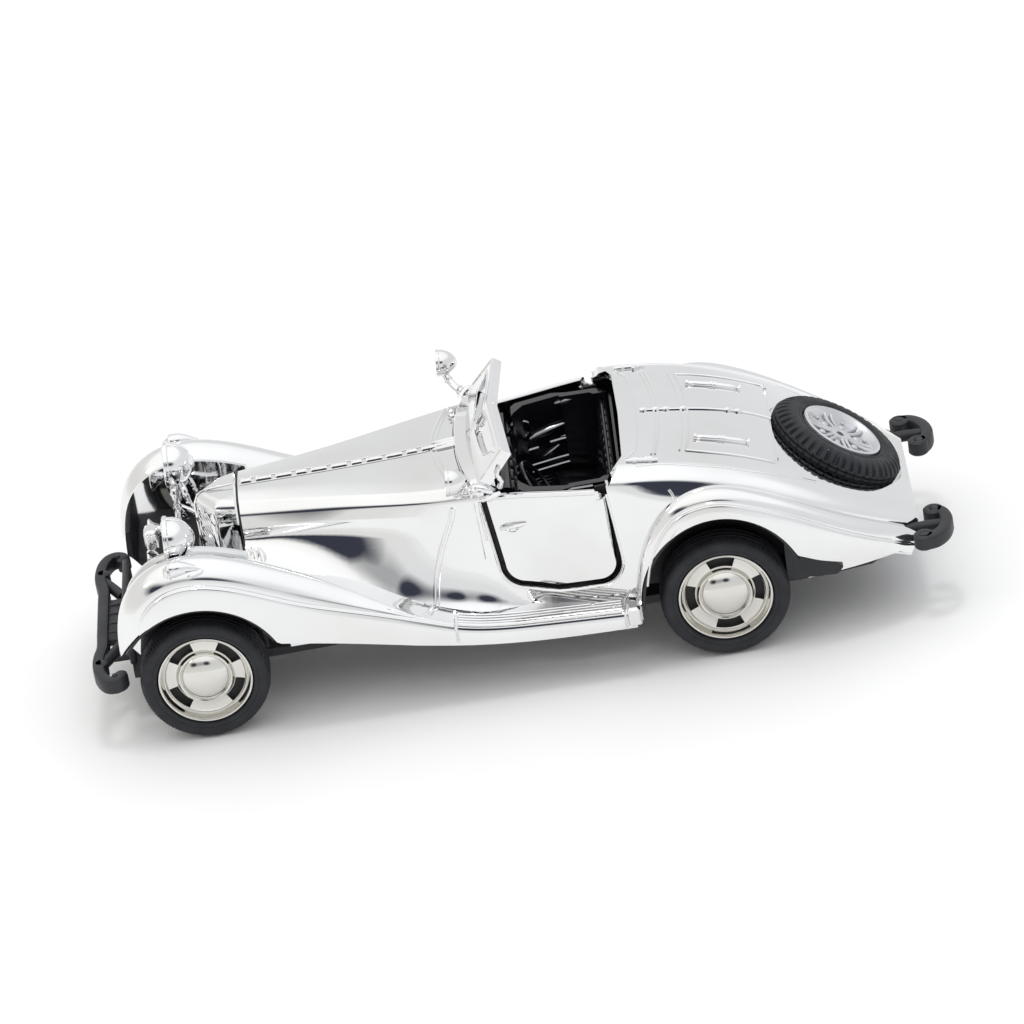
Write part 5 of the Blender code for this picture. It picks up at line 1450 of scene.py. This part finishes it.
def cabin_detail():
    """Grips, pulls and ribs on the tub's side walls, and the levers on its floor."""
    detail = Heap()

    def on_wall(points, radius, sides=8):
        detail.both([(s, min(side_y(s, BELT_Z - 2) - 2.2, 17.3) - 1.25 - out, z)
                     for s, z, out in points], radius, sides)

    on_wall([(56.4, 25.1, 0.45), (57.4, 25.4, 0.45), (60, 25.9, 0.45), (62.4, 26.3, 0.45)],
            [0.5, 0.72, 0.72, 0.4], 12)
    on_wall([(55 + 1.9 * math.cos(a), 27.2 + 1.5 * math.sin(a), 0.35)
             for a in spread(0, 2 * math.pi, 22)], 0.36)
    on_wall([(61.4, 30.1, 0.3), (63.2, 30.4, 0.5), (65.2, 30.6, 0.3)], [0.3, 0.5, 0.3], 10)
    on_wall([(58.2, 21.3, 0.35), (59.6, 21.9, 0.45), (61, 22.6, 0.35)], [0.3, 0.45, 0.3], 10)
    for first, last, count, z, out, radius in (
            (53.4, 63.5, 8, 18.9, 0.15, 0.32), (53.4, 63.5, 8, 20.1, 0.15, 0.32),
            (52.9, 57.6, 6, 23, 0.2, 0.36), (59.6, 64.2, 6, 23.3, 0.2, 0.36)):
        on_wall([(s, z + 0.02 * (s - 54), out) for s in spread(first, last, count)], radius)
    for k in range(6):
        on_wall([(56.2, 14.4 + k * 0.62, 0.1), (60.4, 14.5 + k * 0.62, 0.1)], 0.18)
    on_wall([(s, 30.9, -0.5) for s in spread(54.6, 66, 12)], 0.4)
    on_wall([(s, 23.9, 0.05) for s in spread(54.4, 64.5, 10)], 0.2)
    for k in range(9):
        detail.tube([(54.6 + k * 0.9, y, 12.9) for y in spread(-11.5, 11.5, 6)], 0.16, 6)
    detail.tube([(57, 0.6, 13), (57.3, 0.6, 16), (57.9, 0.6, 19.4)], [0.5, 0.26, 0.26], 10)
    detail.tube([(57.85, 0.6, 19.2), (57.95, 0.6, 19.6), (58, 0.6, 20.2), (58.05, 0.6, 20.5)],
                [0.3, 0.6, 0.6, 0.3], 12)
    detail.tube([(56.2, 2.2, 13), (57, 2.2, 15.4), (58.6, 2.2, 16.4)], [0.3, 0.24, 0.3])
    # The grips, pulls and ribs take the grey metallic colour: painted sheen on black plastic.
    detail.piece("cabin_detail", SHEEN_PAINTED_PLASTIC, "gloss_interior", angle=40)


def seat_bench():
    """A bench in one moulding: cushion and tufted back, with rolled edges and buttons."""
    outline = [(59, 12.6), (59.1, 15), (59.25, 17), (59.6, 18.1), (60.4, 18.7), (61.6, 18.9),
               (63.2, 18.75), (64.8, 18.4), (65.8, 18.1), (66.2, 18.6), (66.6, 20.4), (67, 22.6),
               (67.4, 24.8), (67.8, 27), (68.1, 28.8), (68.4, 29.7), (69, 30.2), (69.6, 30.1),
               (70, 29.5), (70.05, 24), (70.05, 12.6)]
    wide, tuft = 14.2, 2.84
    rings = []
    for y in spread(-wide, wide, 86):
        wave = abs(math.sin(math.pi * (y + wide) / tuft)) ** 0.6
        full = 0.4 + 0.6 * min(1, (wide - abs(y)) / 0.8)
        ring = []
        for i, (s, z) in enumerate(outline):
            if 3 <= i <= 8:
                z += 0.30 * wave * full - 0.36
            elif 9 <= i <= 16:
                row = abs(math.sin(math.pi * (z - 18.6) / 3.9)) ** 0.6
                s += 0.45 - 0.55 * wave * (0.55 + 0.45 * row) * full
            ring.append((s, y, z))
        rings.append(ring)
    fit(loft("tufted_seat", rings, GLOSS, 50), "gloss_interior", "seat_bench")
    trim = Heap()
    for z in (22.4, 26.3):
        s = 66.2 + (z - 18.6) * 0.182
        for k in range(-4, 5):
            trim.tube([(s + 0.5, k * tuft, z), (s + 0.2, k * tuft, z)], [0.34, 0.2], 10)
    trim.tube([(59.05, y, 17.1) for y in spread(-13.9, 13.9, 12)], 0.26)
    trim.tube([(68.95, y, 30.1) for y in spread(-13.9, 13.9, 16)], 0.3)
    trim.piece("seat_piping", GLOSS, "gloss_interior", angle=40)


def dashboard():
    outline = [(50.9, 27.6), (50.9, 31), (51.4, 31.3), (52.4, 31.35), (52.9, 31.2),
               (53.15, 30.7), (53.25, 28.4), (53.2, 26.6)]
    rings = [[(s, y, z) for s, z in outline] for y in (-13.2, 0, 13.2)]
    fit(loft("dash_panel", rings, GLOSS, 40), "gloss_interior", "dashboard")
    dials = Heap()
    for y, r in ((-9.4, 1.25), (-5.6, 1.25), (-1.4, 0.8), (1.4, 0.8), (5.8, 1.25)):
        dials.turn([(0.05, 0.05), (r - 0.3, 0), (r - 0.22, 0.3), (r, 0.34), (r + 0.1, 0.2),
                    (r + 0.1, -0.2), (0.05, -0.2)], (53.25, y, 29), (1, 0, 0.02), 28)
    dials.block((53.1, 8, 27.4), (53.5, 12.2, 30.3), 0.12)
    dials.tube([(53.6, 9.8, 29.4), (53.6, 10.6, 29.4)], 0.2)
    for y in (-3.5, -2.9, 2.9, 3.5):
        dials.tube([(53.2, y, 27.6), (53.8, y, 27.5)], 0.17)
    dials.piece("dash_dials", GLOSS, "gloss_interior", angle=36)


def steering_wheel():
    middle, axis = Vector((57.4, -7.4, 27.6)), Vector((0.86, 0, 0.5)).normalized()
    across = Vector((0, 1, 0))
    up = axis.cross(across)

    def at(angle, radius, height=0):
        return middle + (across * math.cos(angle) + up * math.sin(angle)) * radius + axis * height

    heap = Heap()
    rim = [at(a, 4.6) for a in spread(0, 2 * math.pi, 65)]
    heap.tube(rim[:-1] + rim[:2], 0.34, 10)
    for turn in (90, 210, 330):
        heap.tube([at(math.radians(turn), r, -0.1) for r in (0.4, 2.4, 4.5)], [0.42, 0.26, 0.3])
    heap.tube([at(0, 0, h) for h in (0.35, 0.2, -0.25, -0.5)], [0.5, 0.85, 0.85, 0.5], 16)
    heap.tube([at(0, 0, h) for h in (0, -1.6, -3.2)], [0.6, 0.52, 0.6], 12)
    heap.piece("steering_rim", GLOSS, "gloss_interior", "steering_wheel", angle=40)


def hidden_parts():
    """The motor, its gears and its spring keep their CAD shape."""
    for name, look in (("motor_case", BLACK), ("motor_cover", BLACK), ("axle_pinion", NYLON),
                       ("winding_gear", NYLON), ("gear_pin", STEEL), ("mainspring", STEEL)):
        for slot in bpy.data.objects[name].material_slots:
            slot.material = look


studio()
camera()
for make in (plated_body, doors, hinge_pins, mouldings, door_trim, inner_walls, jamb_gap_shade, wheels,
             spare_wheel, nose, lamp_bar, lamps_and_horns, windscreen, spotlights, front_bumper,
             rear_bumperettes, base_plate, base_ribs, arch_liners, screws, cabin_tub, cabin_detail,
             seat_bench, dashboard, steering_wheel, hidden_parts):
    make()
